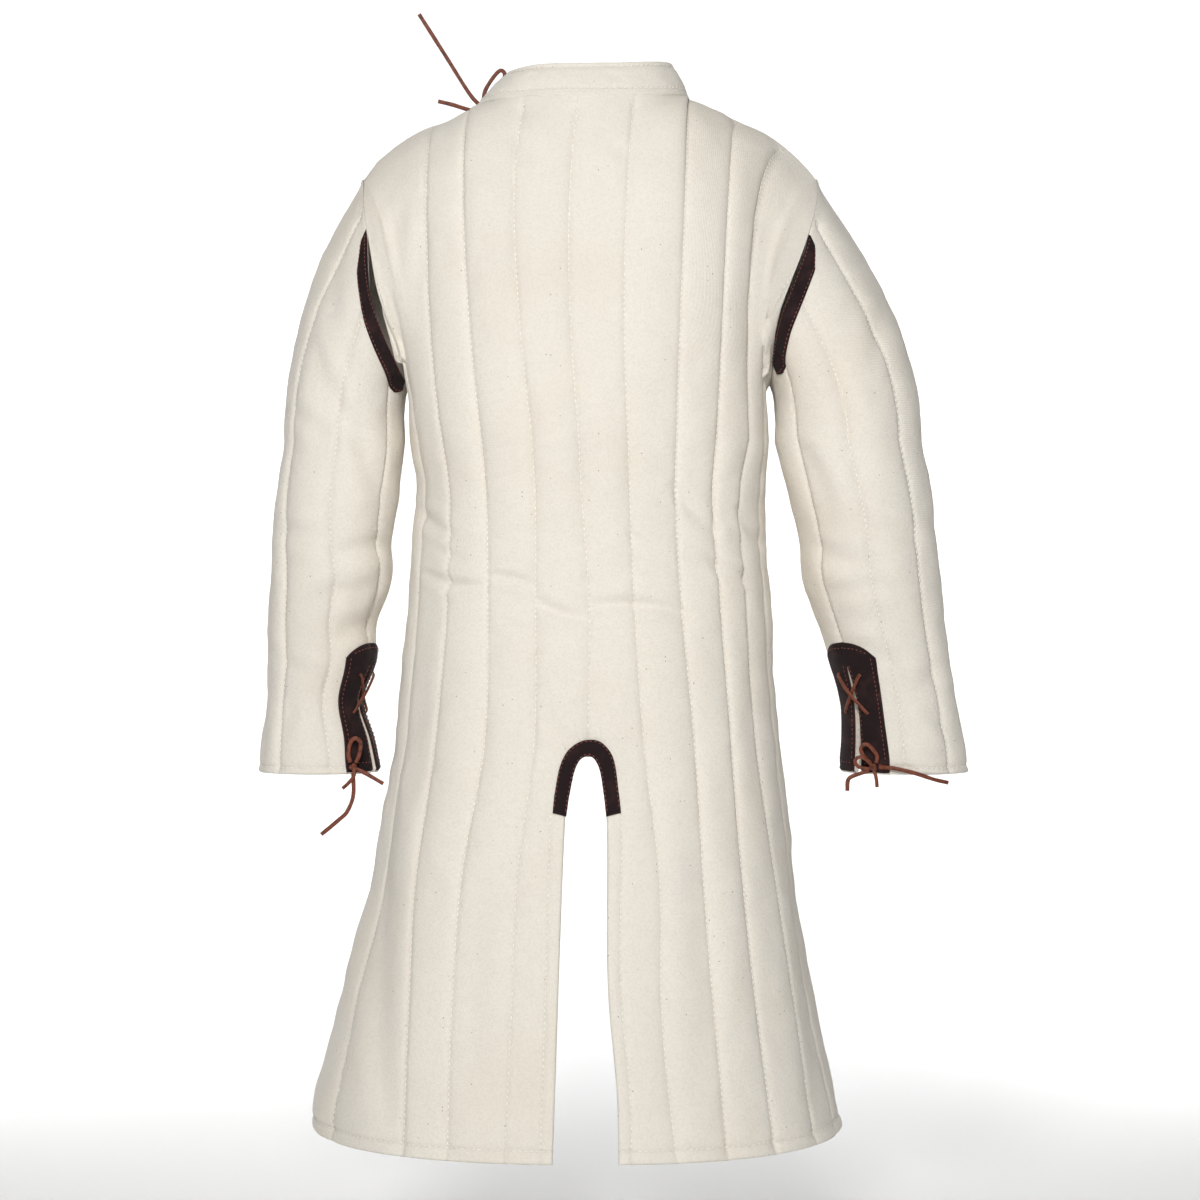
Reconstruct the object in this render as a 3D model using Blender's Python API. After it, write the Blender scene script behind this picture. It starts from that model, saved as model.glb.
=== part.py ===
# Quilted gambeson, hollow and in its worn shape.
# Metres. +X is the wearer's left, +Y the wearer's back and +Z is up.
# The origin is the base of the neck, where the shoulders carry the garment.

import math

import bmesh
import bpy
from mathutils import Matrix, Vector
from mathutils.geometry import interpolate_bezier

# Cloth and leather
BODY_WALL = 0.0075
SLEEVE_WALL = 0.0065
SEAM_RIM = 0.0065
GROOVE_DEPTH = 0.0030
HEM_GROOVE_DEPTH = 0.0025
EDGE_DEPTH = 0.0012
SEAM_GAP = 0.0003
LEAST_FROM_SEAM = 0.0015
FACING_THICKNESS = 0.0016
THONG_RADIUS = 0.0021

# Main heights
CHEST_Z = -0.330
HEM_Z = -1.040
CUFF_Z = -0.676
SHOULDER_Z = -0.053
UNDERARM_Z = -0.270
UPPER_ROWS = 7
LOWER_ROWS = (CHEST_Z, -0.390, -0.440, -0.495, -0.565, -0.632, -0.647, -0.672, -0.700,
              -0.775, -0.850, -0.920, -0.980, HEM_Z + 0.0125, HEM_Z)
FACING_TOP_Z = -0.632
VENT_TOP_Z = -0.647
FACING_END_Z = -0.700
VENT_ROW = UPPER_ROWS + LOWER_ROWS.index(VENT_TOP_Z)

# Neck, seen from above
NECK_CENTRE_X = 0.008
NECK_HALF_WIDTH = 0.1125
NECK_BACK = 0.072
NECK_FRONT = 0.088
NECK_LEFT_Z = 0.020
NECK_RIGHT_Z = 0.030
NECK_BACK_Z = 0.020
NECK_FRONT_Z = -0.035
COLLAR_HEIGHT = 0.037
COLLAR_STITCH_FROM_TOP = 0.006
COLLAR_BACK_LEAN = 0.014
COLLAR_FRONT_LEAN = 0.010
COLLAR_LEFT_LEAN = 0.034
COLLAR_RIGHT_LEAN = 0.019
CLOSURE_NECK_ANGLE = 72.0
CLOSURE_ANGLE = 34.0

SQUARENESS = 2.3


def sized(columns, rows):
    names = columns.split()
    return [dict(zip(names, row)) for row in rows]


BODY = sized("height left right back front", (
    (-0.330, 0.1885, 0.1885, 0.135, 0.125),
    (-0.382, 0.1810, 0.1850, 0.130, 0.124),
    (-0.440, 0.1870, 0.1850, 0.125, 0.124),
    (-0.495, 0.1900, 0.1900, 0.125, 0.126),
    (-0.580, 0.1970, 0.1930, 0.137, 0.138),
    (-0.663, 0.2054, 0.2012, 0.148, 0.150),
    (-0.705, 0.2155, 0.2065, 0.155, 0.156),
    (-0.790, 0.2290, 0.2160, 0.167, 0.167),
    (-0.893, 0.2557, 0.2337, 0.185, 0.180),
    (-0.977, 0.2788, 0.2494, 0.199, 0.191),
    (-1.019, 0.2892, 0.2578, 0.206, 0.197),
    (-1.040, 0.2885, 0.2640, 0.210, 0.200),
))

# Where the quilting lines of the back lie across it, + to the wearer's left
BACK_LINES = sized("height 1 2 3 4 5 6 7 8", (
    (-0.315, 0.155, 0.112, 0.059, 0.011, -0.039, -0.090, -0.133, -0.170),
    (-0.382, 0.145, 0.106, 0.055, 0.008, -0.041, -0.088, -0.127, -0.157),
    (-0.495, 0.146, 0.103, 0.054, 0.000, -0.0455, -0.094, -0.135, -0.163),
    (-0.635, 0.158, 0.106, 0.055, 0.001, -0.055, -0.107, -0.145, -0.173),
    (-0.775, 0.176, 0.129, 0.072, 0.003, -0.071, -0.116, -0.156, -0.191),
    (-0.895, 0.180, 0.136, 0.076, 0.005, -0.072, -0.125, -0.168, -0.208),
    (-1.040, 0.184, 0.139, 0.082, 0.003, -0.086, -0.137, -0.186, -0.231),
))

# How far each line bows sideways between the chest and its upper end
BACK_BOWS = {"left": 0.0, "0": 0.010, "1": 0.020, "2": 0.018, "3": 0.017, "4": 0.013,
             "5": 0.009, "6": -0.002, "7": -0.007, "8": 0.007, "9": 0.0, "right": 0.0}

# Edges of the two vents across the garment, and the width of their turned edges
VENTS = {
    1: sized("height left right band", (
        (-0.560, 0.0185, -0.0180, 0.0170),
        (-0.647, 0.0200, -0.0150, 0.0150),
        (-0.710, 0.0235, -0.0176, 0.0145),
        (-0.885, 0.0300, -0.0194, 0.0125),
        (-0.982, 0.0330, -0.0280, 0.0125),
        (-1.040, 0.0350, -0.0290, 0.0125),
    )),
    -1: sized("height left right band", (
        (-0.560, 0.0250, -0.0220, 0.0150),
        (-0.647, 0.0280, -0.0230, 0.0140),
        (-0.710, 0.0330, -0.0240, 0.0130),
        (-0.885, 0.0400, -0.0280, 0.0125),
        (-0.982, 0.0440, -0.0360, 0.0125),
        (-1.040, 0.0480, -0.0400, 0.0125),
    )),
}
VENT_LINES = {1: "4", -1: "f4"}
ARCH_DROPS = {FACING_TOP_Z: (-0.018, -0.004), VENT_TOP_Z: (-0.016, -0.014), -0.672: (-0.006, -0.005)}

# Angles of the front's lines, from the centre of the front
FRONT_ANGLES = {"right": -90.0, "f9": -77.0, "f8": -64.0, "f7": -50.0, "f6": -36.0, "f5": -20.0,
                "f4": 0.0, "f3": 17.0, "closure": CLOSURE_ANGLE, "neck": 38.0, "f1": 54.0,
                "f0": 72.0, "left": 90.0}

# Shoulder seam in the plane between back and front: distance from the centre and height
SHOULDERS = {
    1: sized("across height", ((0.1205, 0.0200), (0.1457, 0.0075), (0.1750, -0.0024),
                               (0.1990, -0.0166), (0.2253, -0.0386), (0.2370, SHOULDER_Z))),
    -1: sized("across height", ((0.1045, 0.0300), (0.1570, 0.0060), (0.1880, -0.0085),
                                (0.2170, -0.0313), (0.2375, SHOULDER_Z))),
}

# Armholes from the shoulder point down to the underarm: distance from the centre, depth, height
ARMHOLES = {
    (1, 1): ((0.2370, 0.000, SHOULDER_Z), (0.2320, 0.045, -0.090), (0.2225, 0.071, -0.144),
             (0.2160, 0.078, -0.178), (0.2070, 0.075, -0.208), (0.1975, 0.060, -0.236),
             (0.1905, 0.032, -0.261), (0.1890, 0.000, UNDERARM_Z)),
    (-1, 1): ((0.2375, 0.000, SHOULDER_Z), (0.2340, 0.045, -0.085), (0.2213, 0.072, -0.129),
              (0.2040, 0.080, -0.174), (0.1950, 0.078, -0.199), (0.1895, 0.065, -0.228),
              (0.1890, 0.030, -0.262), (0.1890, 0.000, UNDERARM_Z)),
    (1, -1): ((0.2370, 0.000, SHOULDER_Z), (0.2290, -0.040, -0.085), (0.2120, -0.065, -0.135),
              (0.2000, -0.075, -0.185), (0.1920, -0.062, -0.230), (0.1890, -0.030, -0.262),
              (0.1890, 0.000, UNDERARM_Z)),
    (-1, -1): ((0.2375, 0.000, SHOULDER_Z), (0.2290, -0.040, -0.085), (0.2120, -0.065, -0.135),
               (0.2000, -0.075, -0.185), (0.1920, -0.062, -0.230), (0.1890, -0.030, -0.262),
               (0.1890, 0.000, UNDERARM_Z)),
}
ARMHOLE_CENTRE = (0.200, 0.000, -0.165)

# How the cloth comes up to the neck, the shoulder and the armhole
RIM_LEAN = 0.48
FIRST_HANDLE = 0.40
ARMHOLE_HANDLE = 0.36
UPPER_DEPTH = 0.120
UPPER_DROP = 0.110
OVER_SHOULDER_WAY = (0.10, -0.86, 0.46)
UP_SIDE_WAY = (0.25, 0.05, 0.96)
NECK_RIM_WAY = (0.75, -0.66)

# Where the quilting lines meet the shoulder seams and the neck
LEFT_SHOULDER_STOPS = (0.200, 0.165, 0.1205)
RIGHT_SHOULDER_STOPS = (-0.1045, -0.155, -0.205)
BACK_NECK_STOPS = (90.0, 31.0, 1.5, -29.0, -90.0)
FRONT_NECK_STOPS = (CLOSURE_NECK_ANGLE, 38.0, 0.0, -40.0, -90.0)
CHANNEL_COLUMNS = 3

SLEEVE_ROWS = (CHEST_Z, -0.375, -0.430, -0.470, -0.510, -0.540, -0.562, -0.600,
               -0.640, CUFF_Z + 0.007, CUFF_Z)
CUFF_FACING_TOP_Z = -0.540
CUFF_SLIT_TOP_Z = -0.562
SLEEVES = {
    "left": {
        "side": 1, "columns": 20, "first_angle": -1.0, "back_seam": 8, "front_seam": 17,
        "lines": (0, 2, 5, 8, 11, 14, 17), "slit_width": 0.010, "cross_lift": 0.0056,
        "opening": (3.0, 9.7), "opening_widest": 5.2, "opening_width": 0.014,
        "sections": sized("height centre half_width middle half_depth twist", (
            (-0.330, 0.2563, 0.0637, 0.000, 0.072, 0.0),
            (-0.390, 0.2636, 0.0645, 0.000, 0.070, 0.0),
            (-0.432, 0.2700, 0.0625, -0.003, 0.068, 6.0),
            (-0.474, 0.2725, 0.0640, -0.006, 0.066, 12.0),
            (-0.516, 0.2819, 0.0577, -0.012, 0.061, 16.0),
            (-0.558, 0.2830, 0.0575, -0.017, 0.057, 18.0),
            (-0.600, 0.2908, 0.0508, -0.021, 0.052, 18.0),
            (-0.642, 0.2882, 0.0597, -0.024, 0.056, 18.0),
            (-0.676, 0.2865, 0.0650, -0.026, 0.059, 18.0),
        )),
    },
    "right": {
        "side": -1, "columns": 24, "first_angle": 6.0, "back_seam": 9, "front_seam": 21,
        "lines": (0, 3, 6, 9, 12, 15, 18, 21), "slit_width": 0.010, "cross_lift": 0.0049,
        "opening": (3.4, 10.6), "opening_widest": 7.0, "opening_width": 0.004,
        "sections": sized("height centre half_width middle half_depth twist", (
            (-0.330, 0.2710, 0.0783, 0.000, 0.080, 0.0),
            (-0.390, 0.2845, 0.0760, 0.000, 0.077, 0.0),
            (-0.432, 0.2919, 0.0730, -0.003, 0.074, 0.0),
            (-0.474, 0.2960, 0.0739, -0.006, 0.072, 0.0),
            (-0.516, 0.3055, 0.0686, -0.012, 0.068, 0.0),
            (-0.558, 0.3160, 0.0645, -0.017, 0.065, 0.0),
            (-0.600, 0.3254, 0.0624, -0.021, 0.062, 0.0),
            (-0.642, 0.3312, 0.0660, -0.024, 0.063, 0.0),
            (-0.676, 0.3330, 0.0690, -0.026, 0.064, 0.0),
        )),
    },
}
SLEEVE_TOP_STEP = 0.009
SLEEVE_HANDLE = 0.36
SLEEVE_OUT_AT_SHOULDER = 0.58
SLEEVE_OUT_AT_UNDERARM = 0.04
SLEEVE_DEPTH_WAY = 0.16
SLEEVE_DOWN_WAY = -0.81
ARMPIT_FACING_WIDTH = 0.018
CUFF_FACING_COLUMNS = 2

# Thongs. Routes are the smooth curves that the leather takes, from the knot to the free end
KNOT_RADIUS = 0.0050
CROSS_OVER = 0.0052
CROSS_REACH = 0.9
CROSS_TOP_Z = -0.573
CROSS_FOOT_Z = -0.612
KNOTS = {
    "collar": (0.1099, -0.0300, 0.0273),
    "cuff_left": (0.2453, 0.0246, -0.6685),
    "cuff_right": (-0.2939, 0.0326, -0.6685),
}
THONGS = {
    "collar_loop": (22, ((0.1128, -0.0310, 0.0321), (0.1109, -0.0320, 0.0453), (0.1019, -0.0330, 0.0603),
                         (0.0944, -0.0330, 0.0673), (0.0899, -0.0320, 0.0623), (0.0939, -0.0310, 0.0513),
                         (0.1014, -0.0300, 0.0413), (0.1070, -0.0300, 0.0321))),
    "collar_long_tail": (12, ((0.1156, -0.0285, 0.0285), (0.1279, -0.0280, 0.0423),
                              (0.1539, -0.0260, 0.0833), (0.1804, -0.0240, 0.1247))),
    "collar_short_tail": (6, ((0.1144, -0.0300, 0.0237), (0.1279, -0.0280, 0.0245),
                              (0.1449, -0.0260, 0.0293), (0.1604, -0.0250, 0.0329))),
    "cuff_left_loop": (16, ((0.2482, 0.0246, -0.6637), (0.2502, 0.0251, -0.6550), (0.2482, 0.0241, -0.6430),
                            (0.2427, 0.0241, -0.6385), (0.2377, 0.0236, -0.6440), (0.2392, 0.0246, -0.6560),
                            (0.2424, 0.0246, -0.6637))),
    "cuff_left_long_tail": (10, ((0.2453, 0.0246, -0.6745), (0.2451, 0.0261, -0.6978),
                                 (0.2513, 0.0266, -0.7144), (0.2596, 0.0266, -0.7228),
                                 (0.2783, 0.0256, -0.7384))),
    "cuff_left_short_tail": (5, ((0.2402, 0.0246, -0.6715), (0.2315, 0.0251, -0.6755),
                                 (0.2149, 0.0246, -0.6853))),
    "cuff_right_loop": (16, ((-0.2910, 0.0326, -0.6637), (-0.2849, 0.0328, -0.6575),
                             (-0.2809, 0.0328, -0.6495), (-0.2859, 0.0328, -0.6440),
                             (-0.2929, 0.0328, -0.6490), (-0.2979, 0.0326, -0.6570),
                             (-0.2968, 0.0326, -0.6637))),
    "cuff_right_long_tail": (10, ((-0.2999, 0.0328, -0.6680), (-0.3159, 0.0398, -0.6690),
                                  (-0.3363, 0.0408, -0.6739), (-0.3564, 0.0373, -0.6805),
                                  (-0.3716, 0.0303, -0.6843))),
    "cuff_right_short_tail": (5, ((-0.2890, 0.0326, -0.6719), (-0.2804, 0.0338, -0.6745),
                                  (-0.2684, 0.0338, -0.6800), (-0.2669, 0.0333, -0.6926))),
}
# Front ties: heights in body rows, and the places of a tail below its knot: how far down and sideways
FRONT_TIE_ROWS = (3, UPPER_ROWS + 1, UPPER_ROWS + 5)
FRONT_TAIL = ((0.028, 0.0075), (0.052, 0.0095), (0.072, 0.0120))
FRONT_TAIL_LIFT = 0.0048

COLOURS = {
    "canvas": ((0.80, 0.72, 0.58, 1.0), 0.90),
    "suede": ((0.035, 0.016, 0.018, 1.0), 0.85),
    "thong": ((0.18, 0.045, 0.022, 1.0), 0.60),
}


# Values read from the tables

def smooth(table, height, column, key="height"):
    rows = sorted(table, key=lambda row: row[key])
    spots = [row[key] for row in rows]
    values = [row[column] for row in rows]
    if height <= spots[0]:
        return values[0]
    if height >= spots[-1]:
        return values[-1]
    steps = [b - a for a, b in zip(spots, spots[1:])]
    rises = [(b - a) / step for a, b, step in zip(values, values[1:], steps)]
    slopes = [rises[0]]
    for i in range(1, len(rises)):
        slopes.append((rises[i - 1] * steps[i] + rises[i] * steps[i - 1]) / (steps[i - 1] + steps[i]))
    slopes.append(rises[-1])
    i = max(k for k in range(len(steps)) if spots[k] <= height)
    t = (height - spots[i]) / steps[i]
    start = (1 + 2 * t) * (1 - t) ** 2 * values[i] + t * (1 - t) ** 2 * steps[i] * slopes[i]
    end = t * t * (3 - 2 * t) * values[i + 1] + t * t * (t - 1) * steps[i] * slopes[i + 1]
    return start + end


def dense_path(points, fineness=24):
    points = [Vector(point) for point in points]
    ends = [2 * points[0] - points[1]] + points + [2 * points[-1] - points[-2]]
    path = [points[0]]
    for before, start, end, after in zip(ends, ends[1:], ends[2:], ends[3:]):
        first_handle = start + (end - before) / 6
        second_handle = end - (after - start) / 6
        path += interpolate_bezier(start, first_handle, second_handle, end, fineness)[1:]
    return path


def at_length(path, distance):
    for start, end in zip(path, path[1:]):
        step = (end - start).length
        if distance <= step:
            return start.lerp(end, distance / step)
        distance -= step
    return path[-1].copy()


def path_length(path):
    return sum((end - start).length for start, end in zip(path, path[1:]))


def even_points(points, count):
    path = dense_path(points)
    length = path_length(path)
    return [at_length(path, length * i / (count - 1)) for i in range(count)]


# Body

def body_point(degrees, height, face):
    angle = math.radians(degrees)
    half_width = smooth(BODY, height, "left" if degrees > 0 else "right")
    depth = smooth(BODY, height, "back" if face > 0 else "front")
    across = math.copysign(half_width * abs(math.sin(angle)) ** (2 / SQUARENESS), angle)
    return Vector((across, face * depth * max(math.cos(angle), 0.0) ** (2 / SQUARENESS), height))


def angle_at(across, height):
    half_width = smooth(BODY, height, "left" if across > 0 else "right")
    share = min(abs(across) / half_width, 1.0) ** (SQUARENESS / 2)
    return math.copysign(math.degrees(math.asin(share)), across)


def back_angle(line, height):
    if line in ("left", "right"):
        return 90.0 if line == "left" else -90.0
    if line == "0":
        return (90.0 + back_angle("1", height)) / 2
    if line == "9":
        return (back_angle("8", height) - 90.0) / 2
    return angle_at(smooth(BACK_LINES, height, line), height)


def neck_point(degrees, face):
    angle = math.radians(degrees)
    across = NECK_CENTRE_X + NECK_HALF_WIDTH * math.sin(angle)
    toward_left = (1 + math.sin(angle)) / 2
    side_height = NECK_RIGHT_Z + (NECK_LEFT_Z - NECK_RIGHT_Z) * toward_left
    middle_height = NECK_BACK_Z if face > 0 else NECK_FRONT_Z
    depth = NECK_BACK if face > 0 else NECK_FRONT
    height = side_height + (middle_height - side_height) * math.cos(angle) ** 2
    return Vector((across, face * depth * max(math.cos(angle), 0.0), height))


def neck_inward(point):
    inward = Vector((NECK_CENTRE_X - point.x, -point.y, 0)).normalized()
    return (inward * NECK_RIM_WAY[0] + Vector((0, 0, NECK_RIM_WAY[1]))).normalized()


def shoulder_point(across):
    side = 1 if across > 0 else -1
    return Vector((across, 0, smooth(SHOULDERS[side], abs(across), "height", "across")))


def armhole_point(side, face, share):
    path = dense_path([(side * across, depth, height) for across, depth, height in ARMHOLES[side, face]])
    return at_length(path, path_length(path) * share)


def leaning(way, side, face, share):
    # The way turned until it clearly leaves the plane of the rim, body on one side and sleeve on the other
    before, after = (armhole_point(side, face, min(max(share + step, 0), 1)) for step in (-0.02, 0.02))
    inward = armhole_inward(armhole_point(side, face, share))
    normal = (after - before).cross(inward).normalized()
    if normal.x * side < 0:
        normal = -normal
    way = way.normalized()
    return (way + normal * max(0.0, RIM_LEAN - way.dot(normal))).normalized()


def armhole_inward(point):
    side = 1 if point.x > 0 else -1
    centre = Vector((side * ARMHOLE_CENTRE[0], ARMHOLE_CENTRE[1], ARMHOLE_CENTRE[2]))
    return (centre - point).normalized()


# Upper ends of the columns: each gives its point, the handle that leads the cloth to it, and the rim's way

def neck_end(degrees, face):
    point = neck_point(degrees, face)
    drop = UPPER_DROP * math.cos(math.radians(degrees)) ** 2
    handle = Vector((0, face * UPPER_DEPTH - point.y, -drop))
    return point, handle, neck_inward(point)


def shoulder_end(across, face):
    point = shoulder_point(across)
    side = 1 if across > 0 else -1
    table = SHOULDERS[side]
    from_neck = (abs(across) - table[0]["across"]) / (table[-1]["across"] - table[0]["across"])
    neck_way = neck_inward(neck_point(side * 90, face))
    arm_way = armhole_inward(armhole_point(side, face, 0))
    down = Vector((0, 0, -1))
    if from_neck < 0.5:
        rim_way = neck_way.lerp(down, from_neck * 2)
    else:
        rim_way = down.lerp(arm_way, from_neck * 2 - 1)
    neck_handle = Vector((0, face * UPPER_DEPTH, 0))
    return point, neck_handle.lerp(armhole_end(side, face, 0)[1], from_neck), rim_way.normalized()


def armhole_end(side, face, share):
    point = armhole_point(side, face, share)
    over_shoulder = Vector(OVER_SHOULDER_WAY) * Vector((side, face, 1))
    up_side = Vector(UP_SIDE_WAY) * Vector((side, face, 1))
    if share < 0.5:
        way = over_shoulder.lerp(up_side, share * 2)
    else:
        way = up_side.lerp(Vector((0, 0, 1)), share * 2 - 1)
    handle = leaning(way, side, face, share) * (CHEST_Z - point.z) * ARMHOLE_HANDLE
    return point, handle, armhole_inward(point)


# Columns of a panel, from the left side seam or closure to the next one

def spread(first, last, count):
    return [first + (last - first) * i / count for i in range(count + 1)]


def armhole_shares(name, first, last):
    columns = SLEEVES[name]["columns"] // 2
    step = 1 if last > first else -1
    return [j / columns for j in range(first, last + step, step)]


def shoulder_ends(first, last, face):
    return [shoulder_end(across, face) for across in spread(first, last, CHANNEL_COLUMNS)]


def neck_ends(first, last, face):
    return [neck_end(degrees, face) for degrees in spread(first, last, CHANNEL_COLUMNS)]


def armhole_ends(name, half, face):
    # One half of an armhole, read from the panel's left to its right
    sleeve = SLEEVES[name]
    under = sleeve["columns"] // 2
    middle = under // 2
    first, last = (middle, under) if half == "lower" else (0, middle)
    if sleeve["side"] > 0:
        first, last = last, first
    return [armhole_end(sleeve["side"], face, share) for share in armhole_shares(name, first, last)]


def back_channels():
    outer, inner, neck = LEFT_SHOULDER_STOPS
    right_neck, right_inner, right_outer = RIGHT_SHOULDER_STOPS
    return (
        ("left", "0", armhole_ends("left", "lower", 1)),
        ("0", "1", armhole_ends("left", "upper", 1) + [shoulder_end(outer, 1), shoulder_end(inner, 1)]),
        ("1", "2", shoulder_ends(inner, neck, 1)),
        ("2", "3", neck_ends(*BACK_NECK_STOPS[0:2], 1)),
        ("3", "4", neck_ends(*BACK_NECK_STOPS[1:3], 1)),
        ("4", "5", neck_ends(*BACK_NECK_STOPS[2:4], 1)),
        ("5", "6", neck_ends(*BACK_NECK_STOPS[3:5], 1)),
        ("6", "7", shoulder_ends(right_neck, right_inner, 1)),
        ("7", "8", shoulder_ends(right_inner, right_outer, 1)),
        ("8", "9", [shoulder_end(right_outer, 1)] + armhole_ends("right", "upper", 1)),
        ("9", "right", armhole_ends("right", "lower", 1)),
    )


def front_channels():
    outer, inner, neck = LEFT_SHOULDER_STOPS
    right_neck, right_inner, right_outer = RIGHT_SHOULDER_STOPS
    return (
        ("left", "f0", armhole_ends("left", "lower", -1)),
        ("f0", "f1", armhole_ends("left", "upper", -1) + [shoulder_end(outer, -1), shoulder_end(inner, -1)]),
        ("f1", "neck", shoulder_ends(inner, neck, -1)),
        ("neck", "closure", [neck_end(degrees, -1) for degrees in (90.0, CLOSURE_NECK_ANGLE)]),
        ("closure", "f3", neck_ends(*FRONT_NECK_STOPS[0:2], -1)),
        ("f3", "f4", neck_ends(*FRONT_NECK_STOPS[1:3], -1)),
        ("f4", "f5", neck_ends(*FRONT_NECK_STOPS[2:4], -1)),
        ("f5", "f6", neck_ends(*FRONT_NECK_STOPS[3:5], -1)),
        ("f6", "f7", shoulder_ends(right_neck, right_inner, -1)),
        ("f7", "f8", shoulder_ends(right_inner, right_outer, -1)),
        ("f8", "f9", [shoulder_end(right_outer, -1)] + armhole_ends("right", "upper", -1)),
        ("f9", "right", armhole_ends("right", "lower", -1)),
    )


def columns_of(channels, angle_of):
    columns = []
    for first, last, ends in channels:
        if columns:
            ends = ends[1:]
        count = len(ends) if columns else len(ends) - 1
        for i, end in enumerate(ends):
            share = (i + 1 if columns and len(ends) == count else i) / count
            columns.append({"first": first, "last": last, "share": share, "end": end})
    for column in columns:
        column["angle"] = lambda height, c=column: (
            angle_of(c["first"], height) * (1 - c["share"]) + angle_of(c["last"], height) * c["share"])
    return columns


def line_name(column):
    if column["share"] == 0:
        return column["first"]
    return column["last"] if column["share"] == 1 else None


def recess_of(column, plain=()):
    if line_name(column) in plain:
        return 0.0
    near = min(column["share"], 1 - column["share"])
    return GROOVE_DEPTH * max(0.0, 1 - 3 * near)


def upper_points(start, column, face):
    end, handle, _ = column["end"]
    reach = (end - start).length
    bow = 0.0
    if face > 0:
        bow = BACK_BOWS[column["first"]] * (1 - column["share"]) + BACK_BOWS[column["last"]] * column["share"]
    sideways = Vector((bow, 0, 0))
    first_handle = start + Vector((0, 0, reach * FIRST_HANDLE)) + sideways
    second_handle = end + handle + sideways
    return interpolate_bezier(end, second_handle, first_handle, start, UPPER_ROWS + 1)


def body_grid(columns, face):
    grid = [[] for _ in range(UPPER_ROWS + len(LOWER_ROWS))]
    for column in columns:
        lower = [body_point(column["angle"](height), height, face) for height in LOWER_ROWS]
        path = upper_points(lower[0], column, face)[:-1] + lower
        for row, point in zip(grid, path):
            row.append(point)
    return grid


def shape_vent(grid, centre, face):
    first_row = UPPER_ROWS + LOWER_ROWS.index(-0.565)
    for r in range(first_row, len(grid)):
        level = LOWER_ROWS[r - UPPER_ROWS]
        arch = ARCH_DROPS.get(level, (0.0, 0.0))
        band = smooth(VENTS[face], level, "band")
        for side, edge in ((-1, "left"), (1, "right")):
            reach = smooth(VENTS[face], level, edge)
            places = ((centre + side, reach, arch[1]), (centre + 2 * side, reach - side * band, arch[0]))
            for c, across, drop in places:
                grid[r][c] = body_point(angle_at(across, level), level, face) + Vector((0, 0, drop))


def grid_normals(grid, closed=False):
    rows, count = len(grid), len(grid[0])
    normals = []
    for r in range(rows):
        line = []
        for c in range(count):
            if closed:
                across = grid[r][(c + 1) % count] - grid[r][c - 1]
            else:
                across = grid[r][min(c + 1, count - 1)] - grid[r][max(c - 1, 0)]
            down = grid[min(r + 1, rows - 1)][c] - grid[max(r - 1, 0)][c]
            line.append(across.cross(down).normalized())
        normals.append(line)
    r, c = rows * 3 // 4, count // 2
    middle = sum((grid[r][i] for i in range(count)), Vector()) / count
    outward = grid[r][c] - (middle if closed else Vector((0, 0, grid[r][c].z)))
    if normals[r][c].dot(outward) < 0:
        normals = [[-normal for normal in line] for line in normals]
    return normals


def moved(grid, normals, distances):
    return [[point + normal * distance for point, normal, distance in zip(*lines)]
            for lines in zip(grid, normals, distances)]


def level_grid(grid, value):
    return [[value] * len(line) for line in grid]


# Solids

def make_material(name):
    colour, roughness = COLOURS[name]
    material = bpy.data.materials.new(name)
    material.use_nodes = True
    shader = material.node_tree.nodes["Principled BSDF"]
    shader.inputs["Base Color"].default_value = colour
    shader.inputs["Roughness"].default_value = roughness
    shader.inputs["Metallic"].default_value = 0.0
    return material


def add_object(name, data, kind):
    data.materials.append(make_material(kind))
    obj = bpy.data.objects.new(name, data)
    bpy.context.scene.collection.objects.link(obj)
    return obj


def rim_rank(point):
    return point.z + 0.37 * point.x + 0.21 * point.y


def split_rims(bm, outer_verts):
    for face in list(bm.faces):
        outside = [vert for vert in face.verts if vert in outer_verts]
        if len(outside) != 2:
            continue
        low = min(outside, key=lambda vert: rim_rank(vert.co))
        loops = list(face.verts)
        far = loops[(loops.index(low) + 2) % 4]
        bmesh.utils.face_split(face, low, far)


def make_wall(name, outer, inner, kind, keep=None):
    rows, count = len(outer), len(outer[0])
    bm = bmesh.new()
    bmesh.ops.create_grid(bm, x_segments=count - 1, y_segments=rows - 1, size=0.5)
    spot = bm.verts.layers.int.new("spot")
    for vert in bm.verts:
        c = round((vert.co.x + 0.5) * (count - 1))
        r = round((0.5 - vert.co.y) * (rows - 1))
        vert[spot] = r * count + c
    if keep:
        unwanted = [face for face in bm.faces
                    if not keep(*divmod(min(vert[spot] for vert in face.verts), count))]
        bmesh.ops.delete(bm, geom=unwanted, context="FACES")
    for vert in bm.verts:
        r, c = divmod(vert[spot], count)
        vert.co = inner[r][c]
    grown = bmesh.ops.extrude_face_region(bm, geom=bm.faces[:], use_keep_orig=True)["geom"]
    outer_verts = {item for item in grown if isinstance(item, bmesh.types.BMVert)}
    for vert in outer_verts:
        r, c = divmod(vert[spot], count)
        vert.co = outer[r][c]
    split_rims(bm, outer_verts)
    bmesh.ops.recalc_face_normals(bm, faces=bm.faces[:])
    mesh = bpy.data.meshes.new(name)
    bm.to_mesh(mesh)
    bm.free()
    mesh.shade_smooth()
    mesh.set_sharp_from_angle(angle=math.radians(50))
    return add_object(name, mesh, kind)


def make_thong(name, route, count):
    curve = bpy.data.curves.new(name, "CURVE")
    curve.dimensions = "3D"
    curve.bevel_depth = THONG_RADIUS
    curve.bevel_resolution = 2
    curve.use_fill_caps = True
    points = even_points(route, count)
    spline = curve.splines.new("POLY")
    spline.points.add(count - 1)
    for spot, point in zip(spline.points, points):
        spot.co = (*point, 1)
    return add_object(name, curve, "thong")


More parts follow.
